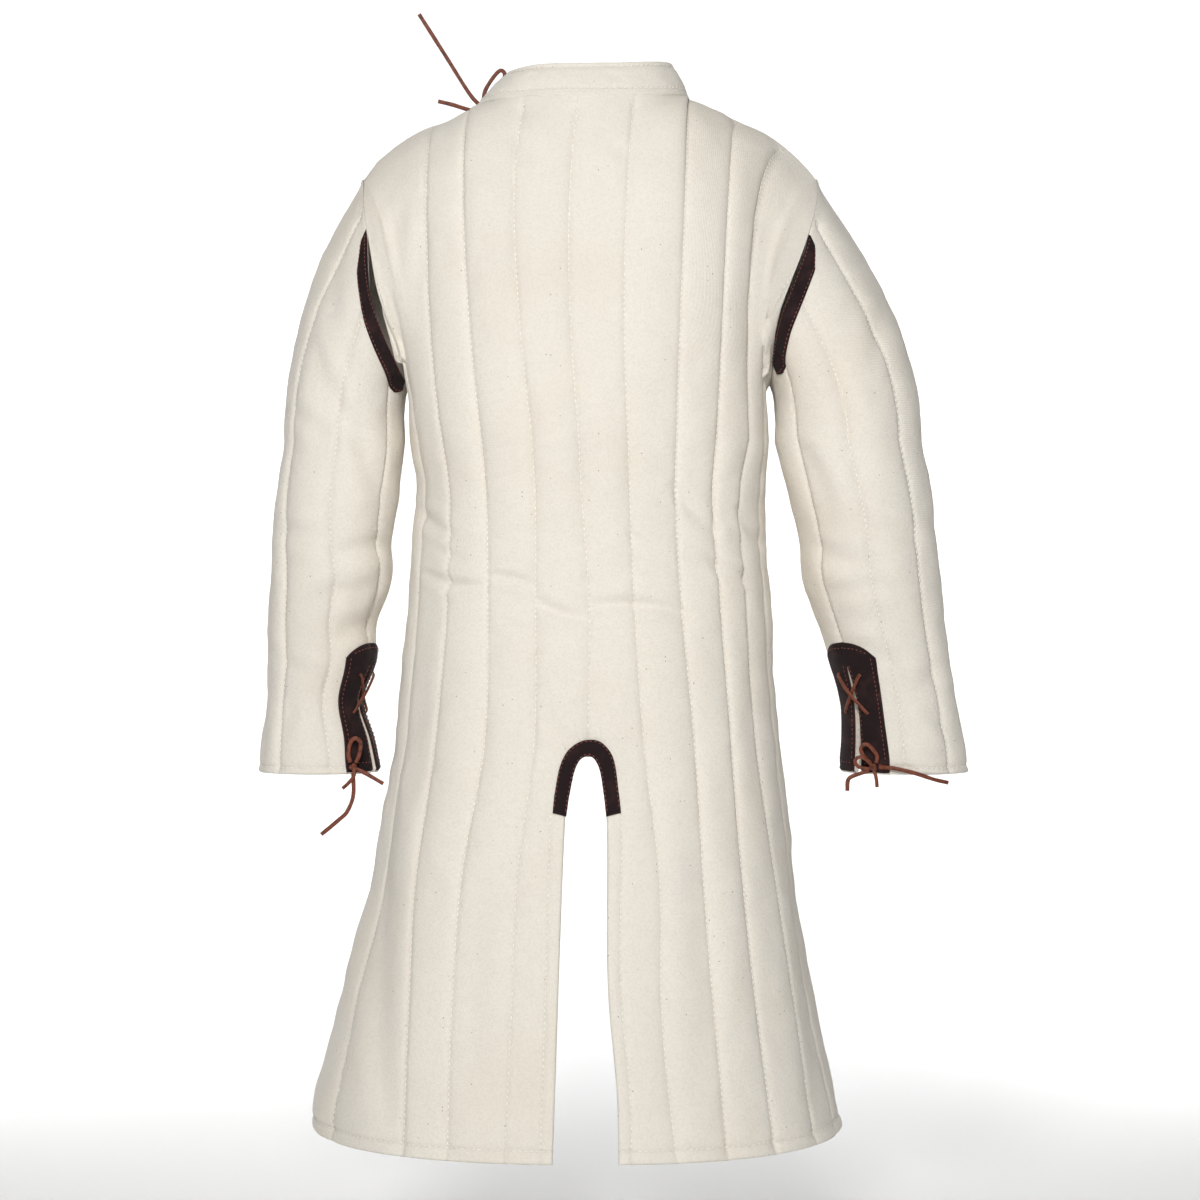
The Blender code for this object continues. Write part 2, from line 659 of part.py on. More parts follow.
def make_knot(name, centre, radius):
    bm = bmesh.new()
    bmesh.ops.create_uvsphere(bm, u_segments=8, v_segments=6, radius=radius,
                              matrix=Matrix.Translation(Vector(centre)))
    mesh = bpy.data.meshes.new(name)
    bm.to_mesh(mesh)
    bm.free()
    mesh.shade_smooth()
    return add_object(name, mesh, "thong")


def make_body_panels():
    half_gap = SEAM_GAP / 2
    panels = {}
    for face, channels, angle_of in ((1, back_channels(), back_angle),
                                     (-1, front_channels(), lambda line, height: FRONT_ANGLES[line])):
        columns = columns_of(channels, angle_of)
        names = [line_name(column) for column in columns]
        grid = body_grid(columns, face)
        shape_vent(grid, names.index(VENT_LINES[face]), face)
        normals = grid_normals(grid)
        recess = body_recess(columns, names, grid, face)
        outer = moved(grid, normals, recess)
        inner = moved(grid, normals, level_grid(grid, -BODY_WALL))
        for line in inner:
            for point in line:
                point.y = face * max(face * point.y, LEAST_FROM_SEAM)
        seam_shift = Vector((0, face * half_gap, 0))
        for r in range(len(grid)):
            for c, side in ((0, 1), (-1, -1)):
                outer[r][c] = grid[r][c] + seam_shift
                inner[r][c] = outer[r][c] - Vector((side * BODY_WALL, 0, 0))
        for c, column in enumerate(columns):
            point, _, rim_way = column["end"]
            on_shoulder = abs(point.y) < 1e-6
            outer[0][c] = point + (seam_shift if on_shoulder else Vector())
            inner[0][c] = outer[0][c] + rim_way * SEAM_RIM
        panels[face] = {"columns": columns, "names": names, "grid": grid, "normals": normals,
                        "outer": outer, "inner": inner}
    return panels


def body_recess(columns, names, grid, face):
    plain = ("neck",)
    recess = [[-recess_of(column, plain) for column in columns] for _ in grid]
    for c, name in enumerate(names):
        if name in ("left", "right"):
            for row in recess:
                row[c] = 0.0
    recess[-2] = [-HEM_GROOVE_DEPTH] * len(columns)
    recess[-1] = [-EDGE_DEPTH] * len(columns)
    centre = names.index(VENT_LINES[face])
    for r in range(UPPER_ROWS + LOWER_ROWS.index(FACING_TOP_Z), len(grid)):
        for side in (-1, 1):
            recess[r][centre + side] = -EDGE_DEPTH
            recess[r][centre + 2 * side] = -HEM_GROOVE_DEPTH
    return recess


def cut_columns(grid, first, last):
    return [line[first:last + 1] for line in grid]


def shifted_edge(outer, inner, c, toward, widths):
    for r, width in enumerate(widths):
        way = (outer[r][toward] - outer[r][c]).normalized()
        outer[r][c] = outer[r][c] + way * width
        inner[r][c] = inner[r][c] + way * width


def outside_vent(centre):
    return lambda r, c: not (r >= VENT_ROW and centre - 1 <= c <= centre)


def make_back(panel):
    centre = panel["names"].index(VENT_LINES[1])
    make_wall("back", panel["outer"], panel["inner"], "canvas", outside_vent(centre))
    make_vent_facing(panel, centre)


def make_vent_facing(panel, centre):
    first_row = UPPER_ROWS + LOWER_ROWS.index(FACING_TOP_Z)
    last_row = UPPER_ROWS + LOWER_ROWS.index(FACING_END_Z)
    below, above = [], []
    for r in range(first_row, last_row + 1):
        points = panel["outer"][r][centre - 2:centre + 3]
        normals = panel["normals"][r][centre - 2:centre + 3]
        below.append([p + n * SEAM_GAP for p, n in zip(points, normals)])
        above.append([p + n * (SEAM_GAP + FACING_THICKNESS) for p, n in zip(points, normals)])
    make_wall("vent_facing", above, below, "suede",
              lambda r, c: not (r >= VENT_ROW - first_row and c in (1, 2)))


def make_fronts(panel):
    closure = panel["names"].index("closure")
    last = len(panel["names"]) - 1
    centre = panel["names"].index(VENT_LINES[-1]) - closure
    widths = [SEAM_GAP / 2] * len(panel["grid"])
    for name, first, end, edge, toward, keep in (("front_left", 0, closure, -1, -2, None),
                                                 ("front_right", closure, last, 0, 1, outside_vent(centre))):
        outer = cut_columns(panel["outer"], first, end)
        inner = cut_columns(panel["inner"], first, end)
        shifted_edge(outer, inner, edge, toward, widths)
        make_wall(name, outer, inner, "canvas", keep)


# Collar

def make_collar():
    stations = collar_stations()
    lift = Vector((0, 0, SEAM_GAP))
    base = [neck_point(degrees, face) for degrees, face in stations]
    top = []
    for (degrees, face), point in zip(stations, base):
        sideways = math.sin(math.radians(degrees))
        lean = COLLAR_BACK_LEAN if face > 0 else COLLAR_FRONT_LEAN
        side_lean = COLLAR_LEFT_LEAN if sideways > 0 else COLLAR_RIGHT_LEAN
        lean = lean + (side_lean - lean) * sideways ** 2
        inward = Vector((NECK_CENTRE_X - point.x, -point.y, 0)).normalized()
        top.append(point + inward * lean + Vector((0, 0, COLLAR_HEIGHT)))
    shares = (0.0, 0.12, 0.5, 1 - COLLAR_STITCH_FROM_TOP / COLLAR_HEIGHT, 1.0)
    depths = (0.0, -0.0005, 0.0010, -0.0015, -0.0005)
    grid = [[low.lerp(high, share) for low, high in zip(base, top)] for share in shares]
    normals = grid_normals(grid)
    outer = moved(grid, normals, [[depth] * len(base) for depth in depths])
    inner = moved(grid, normals, level_grid(grid, -SEAM_RIM))
    for c, point in enumerate(base):
        outer[0][c] = point + lift
        inner[0][c] = outer[0][c] + neck_inward(point) * SEAM_RIM
    for c, toward in ((0, 1), (-1, -2)):
        shifted_edge(outer, inner, c, toward, [SEAM_GAP / 2] * len(grid))
    make_wall("collar", outer, inner, "canvas")


def collar_stations():
    angles = [(CLOSURE_NECK_ANGLE, -1)]
    for face, stops in ((1, BACK_NECK_STOPS), (-1, tuple(reversed(FRONT_NECK_STOPS)))):
        for first, last in zip(stops, stops[1:]):
            angles += [(degrees, face) for degrees in spread(first, last, CHANNEL_COLUMNS)[:-1]]
    return angles + [(CLOSURE_NECK_ANGLE, -1)]


# Sleeves

def sleeve_point(sleeve, degrees, height):
    sections = sleeve["sections"]
    angle = math.radians(degrees)
    across = smooth(sections, height, "centre") + smooth(sections, height, "half_width") * math.cos(angle)
    depth = smooth(sections, height, "middle") + smooth(sections, height, "half_depth") * math.sin(angle)
    return Vector((sleeve["side"] * across, depth, height))


def column_angle(sleeve, column, height):
    step = 360.0 / sleeve["columns"]
    return sleeve["first_angle"] + step * column + smooth(sleeve["sections"], height, "twist")


def set_back(sleeve, column):
    first, last = sleeve["opening"]
    if not first < column < last:
        return 0.0
    widest = sleeve["opening_widest"]
    share = (column - first) / (widest - first) if column < widest else (last - column) / (last - widest)
    return sleeve["opening_width"] * math.sin(share * math.pi / 2)


def sleeve_column(sleeve, column):
    side, half = sleeve["side"], sleeve["columns"] // 2
    face = 1 if column <= half else -1
    share = column / half if face > 0 else (2 * half - column) / half
    start = armhole_point(side, face, share) + Vector((side * SEAM_GAP, 0, 0))
    end = sleeve_point(sleeve, column_angle(sleeve, column, CHEST_Z), CHEST_Z)
    reach = (end - start).length
    outward = SLEEVE_OUT_AT_SHOULDER + (SLEEVE_OUT_AT_UNDERARM - SLEEVE_OUT_AT_SHOULDER) * share ** 0.8
    depth_way = face * SLEEVE_DEPTH_WAY * math.sin(math.pi * share)
    way = leaning(Vector((side * outward, depth_way, SLEEVE_DOWN_WAY)), side, face, share)
    first_handle = start + way * reach * SLEEVE_HANDLE
    second_handle = end + Vector((0, 0, reach * SLEEVE_HANDLE))
    path = interpolate_bezier(start, first_handle, second_handle, end, 60)
    length = path_length(path)
    edge = set_back(sleeve, column)
    near = [edge, edge + SLEEVE_TOP_STEP, edge + ARMPIT_FACING_WIDTH]
    rest = spread(near[-1], length, UPPER_ROWS - 2)[1:-1]
    upper = [at_length(path, distance) for distance in near + rest]
    lower = [sleeve_point(sleeve, column_angle(sleeve, column, z), z) for z in SLEEVE_ROWS]
    return upper + lower


def make_sleeve(name):
    sleeve = SLEEVES[name]
    count = sleeve["columns"]
    side = sleeve["side"]
    paths = [sleeve_column(sleeve, column) for column in range(count)]
    grid = [list(row) for row in zip(*paths)]
    normals = grid_normals(grid, closed=True)
    lines = set(sleeve["lines"])
    recess = [[-GROOVE_DEPTH if c in lines else 0.0 for c in range(count)] for _ in grid]
    recess[-2] = [-HEM_GROOVE_DEPTH] * count
    recess[-1] = [-EDGE_DEPTH] * count
    outer = moved(grid, normals, recess)
    inner = moved(grid, normals, level_grid(grid, -SLEEVE_WALL))
    for c in range(count):
        if set_back(sleeve, c) == 0:
            outer[0][c] = grid[0][c]
            foot = grid[0][c] - Vector((side * SEAM_GAP, 0, 0))
            inner[0][c] = outer[0][c] + armhole_inward(foot) * SEAM_RIM
    back_seam, front_seam = sleeve["back_seam"], sleeve["front_seam"]
    slit_row = len(grid) - len(SLEEVE_ROWS) + SLEEVE_ROWS.index(CUFF_SLIT_TOP_Z)
    back_widths = []
    for r in range(len(grid)):
        below = max(0.0, (r - slit_row) / (len(grid) - 1 - slit_row))
        back_widths.append(SEAM_GAP / 2 + sleeve["slit_width"] / 2 * below ** 0.6)
    front_widths = [SEAM_GAP / 2] * len(grid)
    outward_columns = [c % count for c in range(front_seam, back_seam + count + 1)]
    inward_columns = list(range(back_seam, front_seam + 1))
    pieces = {}
    for piece, columns in (("outer", outward_columns), ("inner", inward_columns)):
        wall = [[line[c] for c in columns] for line in outer]
        lining = [[line[c] for c in columns] for line in inner]
        back_end = -1 if piece == "outer" else 0
        front_end = 0 if piece == "outer" else -1
        shifted_edge(wall, lining, back_end, back_end + (-1 if back_end else 1), back_widths)
        shifted_edge(wall, lining, front_end, front_end + (-1 if front_end else 1), front_widths)
        make_wall(f"sleeve_{name}_{piece}", wall, lining, "canvas")
        pieces[piece] = (columns, wall, [[line[c] for c in columns] for line in normals])
    make_armpit_facing(name, sleeve, pieces)
    make_cuff_facing(name, pieces)


def joined_lines(pieces, which, first, last):
    # The outer piece's columns up to the back seam, then the inner piece's columns after it
    outward, inward = pieces["outer"][which], pieces["inner"][which]
    return [left[first:] + right[:last] for left, right in zip(outward, inward)]


def make_armpit_facing(name, sleeve, pieces):
    first, last = sleeve["opening"]
    back_seam = sleeve["back_seam"]
    before = back_seam - math.ceil(first)
    after = math.floor(last) - back_seam
    wall = joined_lines(pieces, 1, -before - 1, after + 1)[:3]
    normals = joined_lines(pieces, 2, -before - 1, after + 1)[:3]
    count = len(wall[0])
    for c in range(count):
        fullness = min(1.0, 0.45 + 1.1 * math.sin(math.pi * c / (count - 1)))
        wall[2][c] = wall[1][c].lerp(wall[2][c], fullness)
    below = moved(wall, normals, level_grid(wall, SEAM_GAP))
    above = moved(wall, normals, level_grid(wall, SEAM_GAP + FACING_THICKNESS))
    make_wall(f"armpit_facing_{name}", above, below, "suede")


def make_cuff_facing(name, pieces):
    reach = CUFF_FACING_COLUMNS
    rows = len(SLEEVE_ROWS) - SLEEVE_ROWS.index(CUFF_FACING_TOP_Z)
    slit_row = SLEEVE_ROWS.index(CUFF_SLIT_TOP_Z) - SLEEVE_ROWS.index(CUFF_FACING_TOP_Z)
    wall = joined_lines(pieces, 1, -reach - 1, reach + 1)[-rows:]
    normals = joined_lines(pieces, 2, -reach - 1, reach + 1)[-rows:]
    for c in (0, -1):
        wall[0][c] = wall[0][c].lerp(wall[1][c], 0.6)
    below = moved(wall, normals, level_grid(wall, SEAM_GAP))
    above = moved(wall, normals, level_grid(wall, SEAM_GAP + FACING_THICKNESS))
    make_wall(f"cuff_facing_{name}", above, below, "suede",
              lambda r, c: not (r >= slit_row and c == reach))


# Thongs

def sleeve_outward(sleeve, degrees, height):
    along = sleeve_point(sleeve, degrees + 1, height) - sleeve_point(sleeve, degrees - 1, height)
    return along.cross(Vector((0, 0, sleeve["side"]))).normalized()


def make_cuff_cross(name, sleeve, direction, over):
    places = ((-1.0, 0.0), (-0.5, over / 2), (0.0, over), (0.5, over / 2), (1.0, 0.0))
    route = []
    for place, lift in places:
        height = CROSS_TOP_Z + (CROSS_FOOT_Z - CROSS_TOP_Z) * (place + 1) / 2
        degrees = column_angle(sleeve, sleeve["back_seam"] + direction * place * CROSS_REACH, height)
        outward = sleeve_outward(sleeve, degrees, height)
        route.append(sleeve_point(sleeve, degrees, height) + outward * (sleeve["cross_lift"] + lift))
    make_thong(name, route, 6)


def make_thongs():
    for place, centre in KNOTS.items():
        make_knot(f"{place}_knot", centre, KNOT_RADIUS)
    for name, (count, route) in THONGS.items():
        make_thong(name, route, count)
    for name, sleeve in SLEEVES.items():
        make_cuff_cross(f"cuff_{name}_cross_1", sleeve, 1, 0.0)
        make_cuff_cross(f"cuff_{name}_cross_2", sleeve, -1, CROSS_OVER)


def make_front_ties(panel):
    closure = panel["names"].index("closure")
    column = [row[closure] for row in panel["grid"]]
    for number, row in enumerate(FRONT_TIE_ROWS, 1):
        outward = panel["normals"][row][closure]
        across = Vector((0, 0, 1)).cross(outward).normalized()
        centre = panel["outer"][row][closure] + outward * (KNOT_RADIUS + 1.5 * SEAM_GAP)
        make_knot(f"front_tie_{number}_knot", centre, KNOT_RADIUS)
        for side, word in ((1, "left"), (-1, "right")):
            away = (across * side * 0.62 + Vector((0, 0, -0.78))).normalized()
            route = [centre + away * (KNOT_RADIUS + 3 * SEAM_GAP)]
            for down, sideways in FRONT_TAIL:
                foot = at_length(column[row:], down)
                route.append(foot + outward * FRONT_TAIL_LIFT + across * side * sideways)
            make_thong(f"front_tie_{number}_{word}_tail", route, 8)


def clear_scene():
    for obj in list(bpy.data.objects):
        bpy.data.objects.remove(obj)


def main():
    clear_scene()
    panels = make_body_panels()
    make_back(panels[1])
    make_fronts(panels[-1])
    make_collar()
    for name in SLEEVES:
        make_sleeve(name)
    make_thongs()
    make_front_ties(panels[-1])


main()
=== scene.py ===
# Quilted gambeson: cloth, leather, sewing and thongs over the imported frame.
# Metres. +X is the wearer's left, +Y the wearer's back, and the camera looks at the back.

import math

import bmesh
import bpy
import numpy as np
from mathutils import Matrix, Vector, noise


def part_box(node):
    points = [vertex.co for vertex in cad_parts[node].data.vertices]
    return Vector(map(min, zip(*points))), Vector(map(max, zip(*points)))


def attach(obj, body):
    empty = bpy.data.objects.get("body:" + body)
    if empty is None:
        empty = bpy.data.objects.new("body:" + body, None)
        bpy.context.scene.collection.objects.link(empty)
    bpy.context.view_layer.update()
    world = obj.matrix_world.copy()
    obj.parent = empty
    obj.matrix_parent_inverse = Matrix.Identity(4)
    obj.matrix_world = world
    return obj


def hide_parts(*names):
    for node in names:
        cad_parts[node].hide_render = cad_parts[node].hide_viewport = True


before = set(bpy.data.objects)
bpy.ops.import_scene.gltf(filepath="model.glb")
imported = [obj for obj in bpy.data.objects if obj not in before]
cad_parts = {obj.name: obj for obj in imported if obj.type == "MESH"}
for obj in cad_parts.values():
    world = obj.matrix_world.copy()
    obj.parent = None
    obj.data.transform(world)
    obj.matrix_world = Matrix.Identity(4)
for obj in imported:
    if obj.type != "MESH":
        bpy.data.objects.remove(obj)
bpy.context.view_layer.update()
print("frame loaded")


# Camera, light and floor

view = {"place": (-0.011, 2.6, -0.495), "target": (-0.011, 0.0, -0.495), "lens": 74.4}
studio = {"floorHeight": -1.30, "wallDepth": -3.6, "wallTop": 4.0, "radius": 1.1,
          "steps": 12, "width": 9.0, "front": 4.5, "colour": (0.93, 0.93, 0.93, 1)}
lamps = (
    ("keyLight", (0.30, 3.10, 1.10), (0.6, 0.6), 82, (1.0, 0.995, 0.985), (0.0, 0.0, -0.5)),
    ("fillLight", (-0.5, 2.7, -0.6), (1.2, 1.2), 5, (0.98, 0.99, 1.0), (0.0, 0.0, -0.5)),
    ("frontLight", (0.6, -2.0, 1.2), (2.0, 2.0), 14, (1.0, 1.0, 1.0), (0.0, 0.0, -0.5)),
    ("wallLightLeft", (2.3, -2.0, 0.2), (1.0, 2.6), 62, (1.0, 1.0, 1.0), (1.15, -3.6, -0.5)),
    ("wallLightRight", (-2.3, -2.0, 0.2), (1.0, 2.6), 62, (1.0, 1.0, 1.0), (-1.15, -3.6, -0.5)),
)


def aim(obj, target):
    obj.rotation_euler = (Vector(target) - obj.location).to_track_quat("-Z", "Y").to_euler()


def makeCamera():
    data = bpy.data.cameras.new("camera")
    data.lens = view["lens"]
    data.sensor_width = 36.0
    camera = bpy.data.objects.new("camera", data)
    bpy.context.scene.collection.objects.link(camera)
    camera.location = view["place"]
    aim(camera, view["target"])
    bpy.context.scene.camera = camera


def makeLight(name, place, size, power, colour, target):
    data = bpy.data.lights.new(name, "AREA")
    data.energy = power
    data.color = colour
    data.shape = "RECTANGLE"
    data.size, data.size_y = size
    light = bpy.data.objects.new(name, data)
    bpy.context.scene.collection.objects.link(light)
    light.location = place
    aim(light, target)


def makeStage():
    profile = [(studio["front"], studio["floorHeight"])]
    for step in range(studio["steps"] + 1):
        turn = math.radians(90 * step / studio["steps"])
        profile.append((studio["wallDepth"] + studio["radius"] * (1 - math.sin(turn)),
                        studio["floorHeight"] + studio["radius"] * (1 - math.cos(turn))))
    profile.append((studio["wallDepth"], studio["wallTop"]))
    bm = bmesh.new()
    verts = [bm.verts.new((-studio["width"] / 2, y, z)) for y, z in profile]
    edges = [bm.edges.new(pair) for pair in zip(verts, verts[1:])]
    grown = bmesh.ops.extrude_edge_only(bm, edges=edges)["geom"]
    moving = [item for item in grown if isinstance(item, bmesh.types.BMVert)]
    bmesh.ops.translate(bm, verts=moving, vec=(studio["width"], 0, 0))
    bmesh.ops.recalc_face_normals(bm, faces=bm.faces[:])
    mesh = bpy.data.meshes.new("studioFloor")
    bm.to_mesh(mesh)
    bm.free()
    mesh.shade_smooth()
    material = bpy.data.materials.new("studioFloor")
    material.use_nodes = True
    shader = material.node_tree.nodes["Principled BSDF"]
    shader.inputs["Base Color"].default_value = studio["colour"]
    shader.inputs["Roughness"].default_value = 0.95
    mesh.materials.append(material)
    floor = bpy.data.objects.new("studioFloor", mesh)
    bpy.context.scene.collection.objects.link(floor)


def lightScene():
    world = bpy.data.worlds.new("studio")
    world.use_nodes = True
    world.node_tree.nodes["Background"].inputs["Color"].default_value = (1, 1, 1, 1)
    world.node_tree.nodes["Background"].inputs["Strength"].default_value = 0.16
    bpy.context.scene.world = world
    bpy.context.scene.view_settings.view_transform = "Standard"
    for lamp in lamps:
        makeLight(*lamp)


makeCamera()
makeStage()
lightScene()
print("camera and studio made")


# Materials

looks = {
    "cream": (0.845, 0.800, 0.720, 1), "warm": (0.825, 0.765, 0.672, 1), "grey": (0.815, 0.775, 0.705, 1),
    "fleck": (0.640, 0.590, 0.510, 1), "seed": (0.170, 0.085, 0.035, 1), "thread": (0.970, 0.950, 0.900, 1),
    # The lighter suede colour serves both random wear blotches and a painted highlight along every edge
    "suede": (0.017, 0.009, 0.010, 1), "suedeWearAndHighlight": (0.058, 0.026, 0.024, 1),
    # The groove colour is painted shade for the quilting grooves
    "groove": (0.600, 0.530, 0.430, 1), "redThread": (0.240, 0.070, 0.052, 1),
    "thong": (0.185, 0.048, 0.022, 1), "thongDark": (0.070, 0.020, 0.012, 1),
    "weavePitch": 0.0011, "stitchPitch": 0.0058,
}


def addNode(tree, kind, inputs=None, **settings):
    node = tree.nodes.new(kind)
    for key, value in settings.items():
        setattr(node, key, value)
    for key, value in (inputs or {}).items():
        if isinstance(value, bpy.types.NodeSocket):
            tree.links.new(value, node.inputs[key])
        else:
            node.inputs[key].default_value = value
    return node


def maths(tree, operation, *values):
    return addNode(tree, "ShaderNodeMath", dict(enumerate(values)), operation=operation).outputs[0]


def times(tree, *values):
    return maths(tree, "MULTIPLY", *values)


def mixColours(tree, factor, first, second):
    return addNode(tree, "ShaderNodeMix", {0: factor, 6: first, 7: second}, data_type="RGBA").outputs[2]


def noiseOf(tree, coords, scale, detail=3.0):
    inputs = {"Vector": coords, "Scale": scale, "Detail": detail}
    return addNode(tree, "ShaderNodeTexNoise", inputs).outputs["Fac"]


def within(tree, value, low, high):
    return addNode(tree, "ShaderNodeMapRange", {"Value": value, "From Min": low, "From Max": high},
                   interpolation_type="SMOOTHSTEP").outputs["Result"]


def bumped(tree, height, distance, strength, before=None):
    inputs = {"Height": height, "Distance": distance, "Strength": strength}
    if before is not None:
        inputs["Normal"] = before
    return addNode(tree, "ShaderNodeBump", inputs).outputs["Normal"]


def newMaterial(name, roughness, specular=0.5, sheen=0.0):
    material = bpy.data.materials.new(name)
    material.use_nodes = True
    tree = material.node_tree
    shader = tree.nodes["Principled BSDF"]
    shader.inputs["Roughness"].default_value = roughness
    shader.inputs["Specular IOR Level"].default_value = specular
    shader.inputs["Sheen Weight"].default_value = sheen
    return material, tree, shader, addNode(tree, "ShaderNodeTexCoord").outputs["Object"]


def canvasColour(tree, place, cloth, seam):
    # Cream with warm and grey patches, slubs along the yarn, painted shade in the quilting grooves and a few
    # cotton seeds
    warm = within(tree, noiseOf(tree, place, 7.0), 0.42, 0.70)
    colour = mixColours(tree, warm, looks["cream"], looks["warm"])
    grey = within(tree, noiseOf(tree, place, 19.0), 0.50, 0.85)
    colour = mixColours(tree, grey, colour, looks["grey"])
    slub = addNode(tree, "ShaderNodeMapping", {"Vector": cloth, "Scale": (700.0, 70.0, 1.0)}).outputs[0]
    colour = mixColours(tree, times(tree, noiseOf(tree, slub, 1.0), 0.20), colour, looks["warm"])
    mottle = within(tree, noiseOf(tree, place, 420.0, 2.0), 0.35, 0.75)
    colour = mixColours(tree, times(tree, mottle, 0.30), colour, looks["fleck"])
    # Painted shade: the cloth darkens within 2.2 mm of each stitched line, where the grooves lie in shade
    colour = mixColours(tree, times(tree, within(tree, seam, 0.0022, 0.0), 0.22), colour, looks["groove"])
    cells = addNode(tree, "ShaderNodeTexVoronoi", {"Vector": place, "Scale": 210.0})
    chosen = addNode(tree, "ShaderNodeSeparateColor", {0: cells.outputs["Color"]}).outputs[0]
    speck = times(tree, maths(tree, "LESS_THAN", cells.outputs["Distance"], 0.13),
                  maths(tree, "GREATER_THAN", chosen, 0.965))
    return mixColours(tree, times(tree, speck, 0.75), colour, looks["seed"])


def makeCanvas():
    material, tree, shader, place = newMaterial("canvas", 0.92, 0.18, 0.12)
    cloth = addNode(tree, "ShaderNodeUVMap", uv_map="cloth").outputs["UV"]
    across, down, _ = addNode(tree, "ShaderNodeSeparateXYZ", {0: cloth}).outputs
    seam = addNode(tree, "ShaderNodeAttribute", attribute_name="seam").outputs["Fac"]
    tree.links.new(canvasColour(tree, place, cloth, seam), shader.inputs["Base Color"])
    turn = math.pi / looks["weavePitch"]
    weave = times(tree, maths(tree, "SINE", times(tree, across, turn)),
                  maths(tree, "SINE", times(tree, down, turn)))
    puckerTurn = 2 * math.pi / looks["stitchPitch"]
    pucker = times(tree, maths(tree, "SINE", times(tree, down, puckerTurn)),
                   within(tree, seam, 0.0075, 0.0004))
    normal = bumped(tree, noiseOf(tree, place, 48.0, 4.0), 0.0030, 0.34)
    normal = bumped(tree, pucker, 0.0006, 0.22, normal)
    normal = bumped(tree, weave, 0.00020, 0.60, normal)
    tree.links.new(normal, shader.inputs["Normal"])
    return material


def makeSuede():
    material, tree, shader, place = newMaterial("suede", 0.88, 0.16, 0.05)
    edge = addNode(tree, "ShaderNodeAttribute", attribute_name="seam").outputs["Fac"]
    blotch = within(tree, noiseOf(tree, place, 55.0, 4.0), 0.45, 0.75)
    # Lighter in random blotches, which is wear, and within 1.6 mm of every edge, which is a painted highlight
    # on the rounded edges
    wearAndHighlight = maths(tree, "ADD", times(tree, blotch, 0.45), times(tree, within(tree, edge, 0.0016, 0.0), 0.55))
    tree.links.new(mixColours(tree, wearAndHighlight, looks["suede"], looks["suedeWearAndHighlight"]), shader.inputs["Base Color"])
    nap = noiseOf(tree, place, 1500.0, 2.0)
    normal = bumped(tree, noiseOf(tree, place, 110.0, 3.0), 0.0010, 0.45)
    tree.links.new(bumped(tree, nap, 0.0003, 0.50, normal), shader.inputs["Normal"])
    return material


def makeThongLeather():
    material, tree, shader, place = newMaterial("thongLeather", 0.56, 0.40)
    dark = within(tree, noiseOf(tree, place, 260.0, 4.0), 0.46, 0.72)
    tree.links.new(mixColours(tree, dark, looks["thong"], looks["thongDark"]), shader.inputs["Base Color"])
    grain = addNode(tree, "ShaderNodeTexVoronoi", {"Vector": place, "Scale": 1300.0}).outputs["Distance"]
    normal = bumped(tree, noiseOf(tree, place, 300.0, 3.0), 0.0006, 0.40)
    tree.links.new(bumped(tree, grain, 0.0002, 0.45, normal), shader.inputs["Normal"])
    return material


def makeThread(name, colour):
    material, tree, shader, place = newMaterial(name, 0.80)
    strand = noiseOf(tree, place, 900.0, 2.0)
    darker = tuple(value * 0.72 for value in colour[:3]) + (1,)
    shade = within(tree, strand, 0.40, 0.75)
    tree.links.new(mixColours(tree, shade, colour, darker), shader.inputs["Base Color"])
    tree.links.new(bumped(tree, strand, 0.0003, 0.5), shader.inputs["Normal"])
    return material


materials = {
    "canvas": makeCanvas(),
    "suede": makeSuede(),
    "thong": makeThongLeather(),
    "thread": makeThread("creamThread", looks["thread"]),
    "redThread": makeThread("redThread", looks["redThread"]),
}
print("materials made")


# Values read from tables, and paths

def sized(columns, rows):
    names = columns.split()
    return [dict(zip(names, row)) for row in rows]


def smooth(table, spot, column, key="height"):
    rows = sorted(table, key=lambda row: row[key])
    spots = [row[key] for row in rows]
    values = [row[column] for row in rows]
    if spot <= spots[0]:
        return values[0]
    if spot >= spots[-1]:
        return values[-1]
    steps = [b - a for a, b in zip(spots, spots[1:])]
    rises = [(b - a) / step for a, b, step in zip(values, values[1:], steps)]
    slopes = [rises[0]]
    for i in range(1, len(rises)):
        slopes.append((rises[i - 1] * steps[i] + rises[i] * steps[i - 1]) / (steps[i - 1] + steps[i]))
    slopes.append(rises[-1])
    i = max(k for k in range(len(steps)) if spots[k] <= spot)
    t = (spot - spots[i]) / steps[i]
    start = (1 + 2 * t) * (1 - t) ** 2 * values[i] + t * (1 - t) ** 2 * steps[i] * slopes[i]
    end = t * t * (3 - 2 * t) * values[i + 1] + t * t * (t - 1) * steps[i] * slopes[i + 1]
    return start + end


def fade(values, low, high):
    share = np.clip((np.asarray(values, float) - low) / (high - low), 0, 1)
    return share * share * (3 - 2 * share)


def unit(ways):
    return ways / np.maximum(np.linalg.norm(ways, axis=-1, keepdims=True), 1e-12)


def bezier(start, firstHandle, secondHandle, end, shares):
    t = np.asarray(shares, float)[:, None]
    weights = ((1 - t) ** 3, 3 * t * (1 - t) ** 2, 3 * t * t * (1 - t), t ** 3)
    points = (start, firstHandle, secondHandle, end)
    return sum(weight * np.array(point, float) for weight, point in zip(weights, points))


def densePath(points, fineness=24):
    points = [np.array(point, float) for point in points]
    ends = [2 * points[0] - points[1]] + points + [2 * points[-1] - points[-2]]
    path = [points[0][None]]
    shares = np.arange(1, fineness) / (fineness - 1)
    for before, start, end, after in zip(ends, ends[1:], ends[2:], ends[3:]):
        path.append(bezier(start, start + (end - before) / 6, end - (after - start) / 6, end, shares))
    return np.concatenate(path)


def lengthsOf(path):
    return np.concatenate([[0.0], np.cumsum(np.linalg.norm(np.diff(path, axis=0), axis=1))])


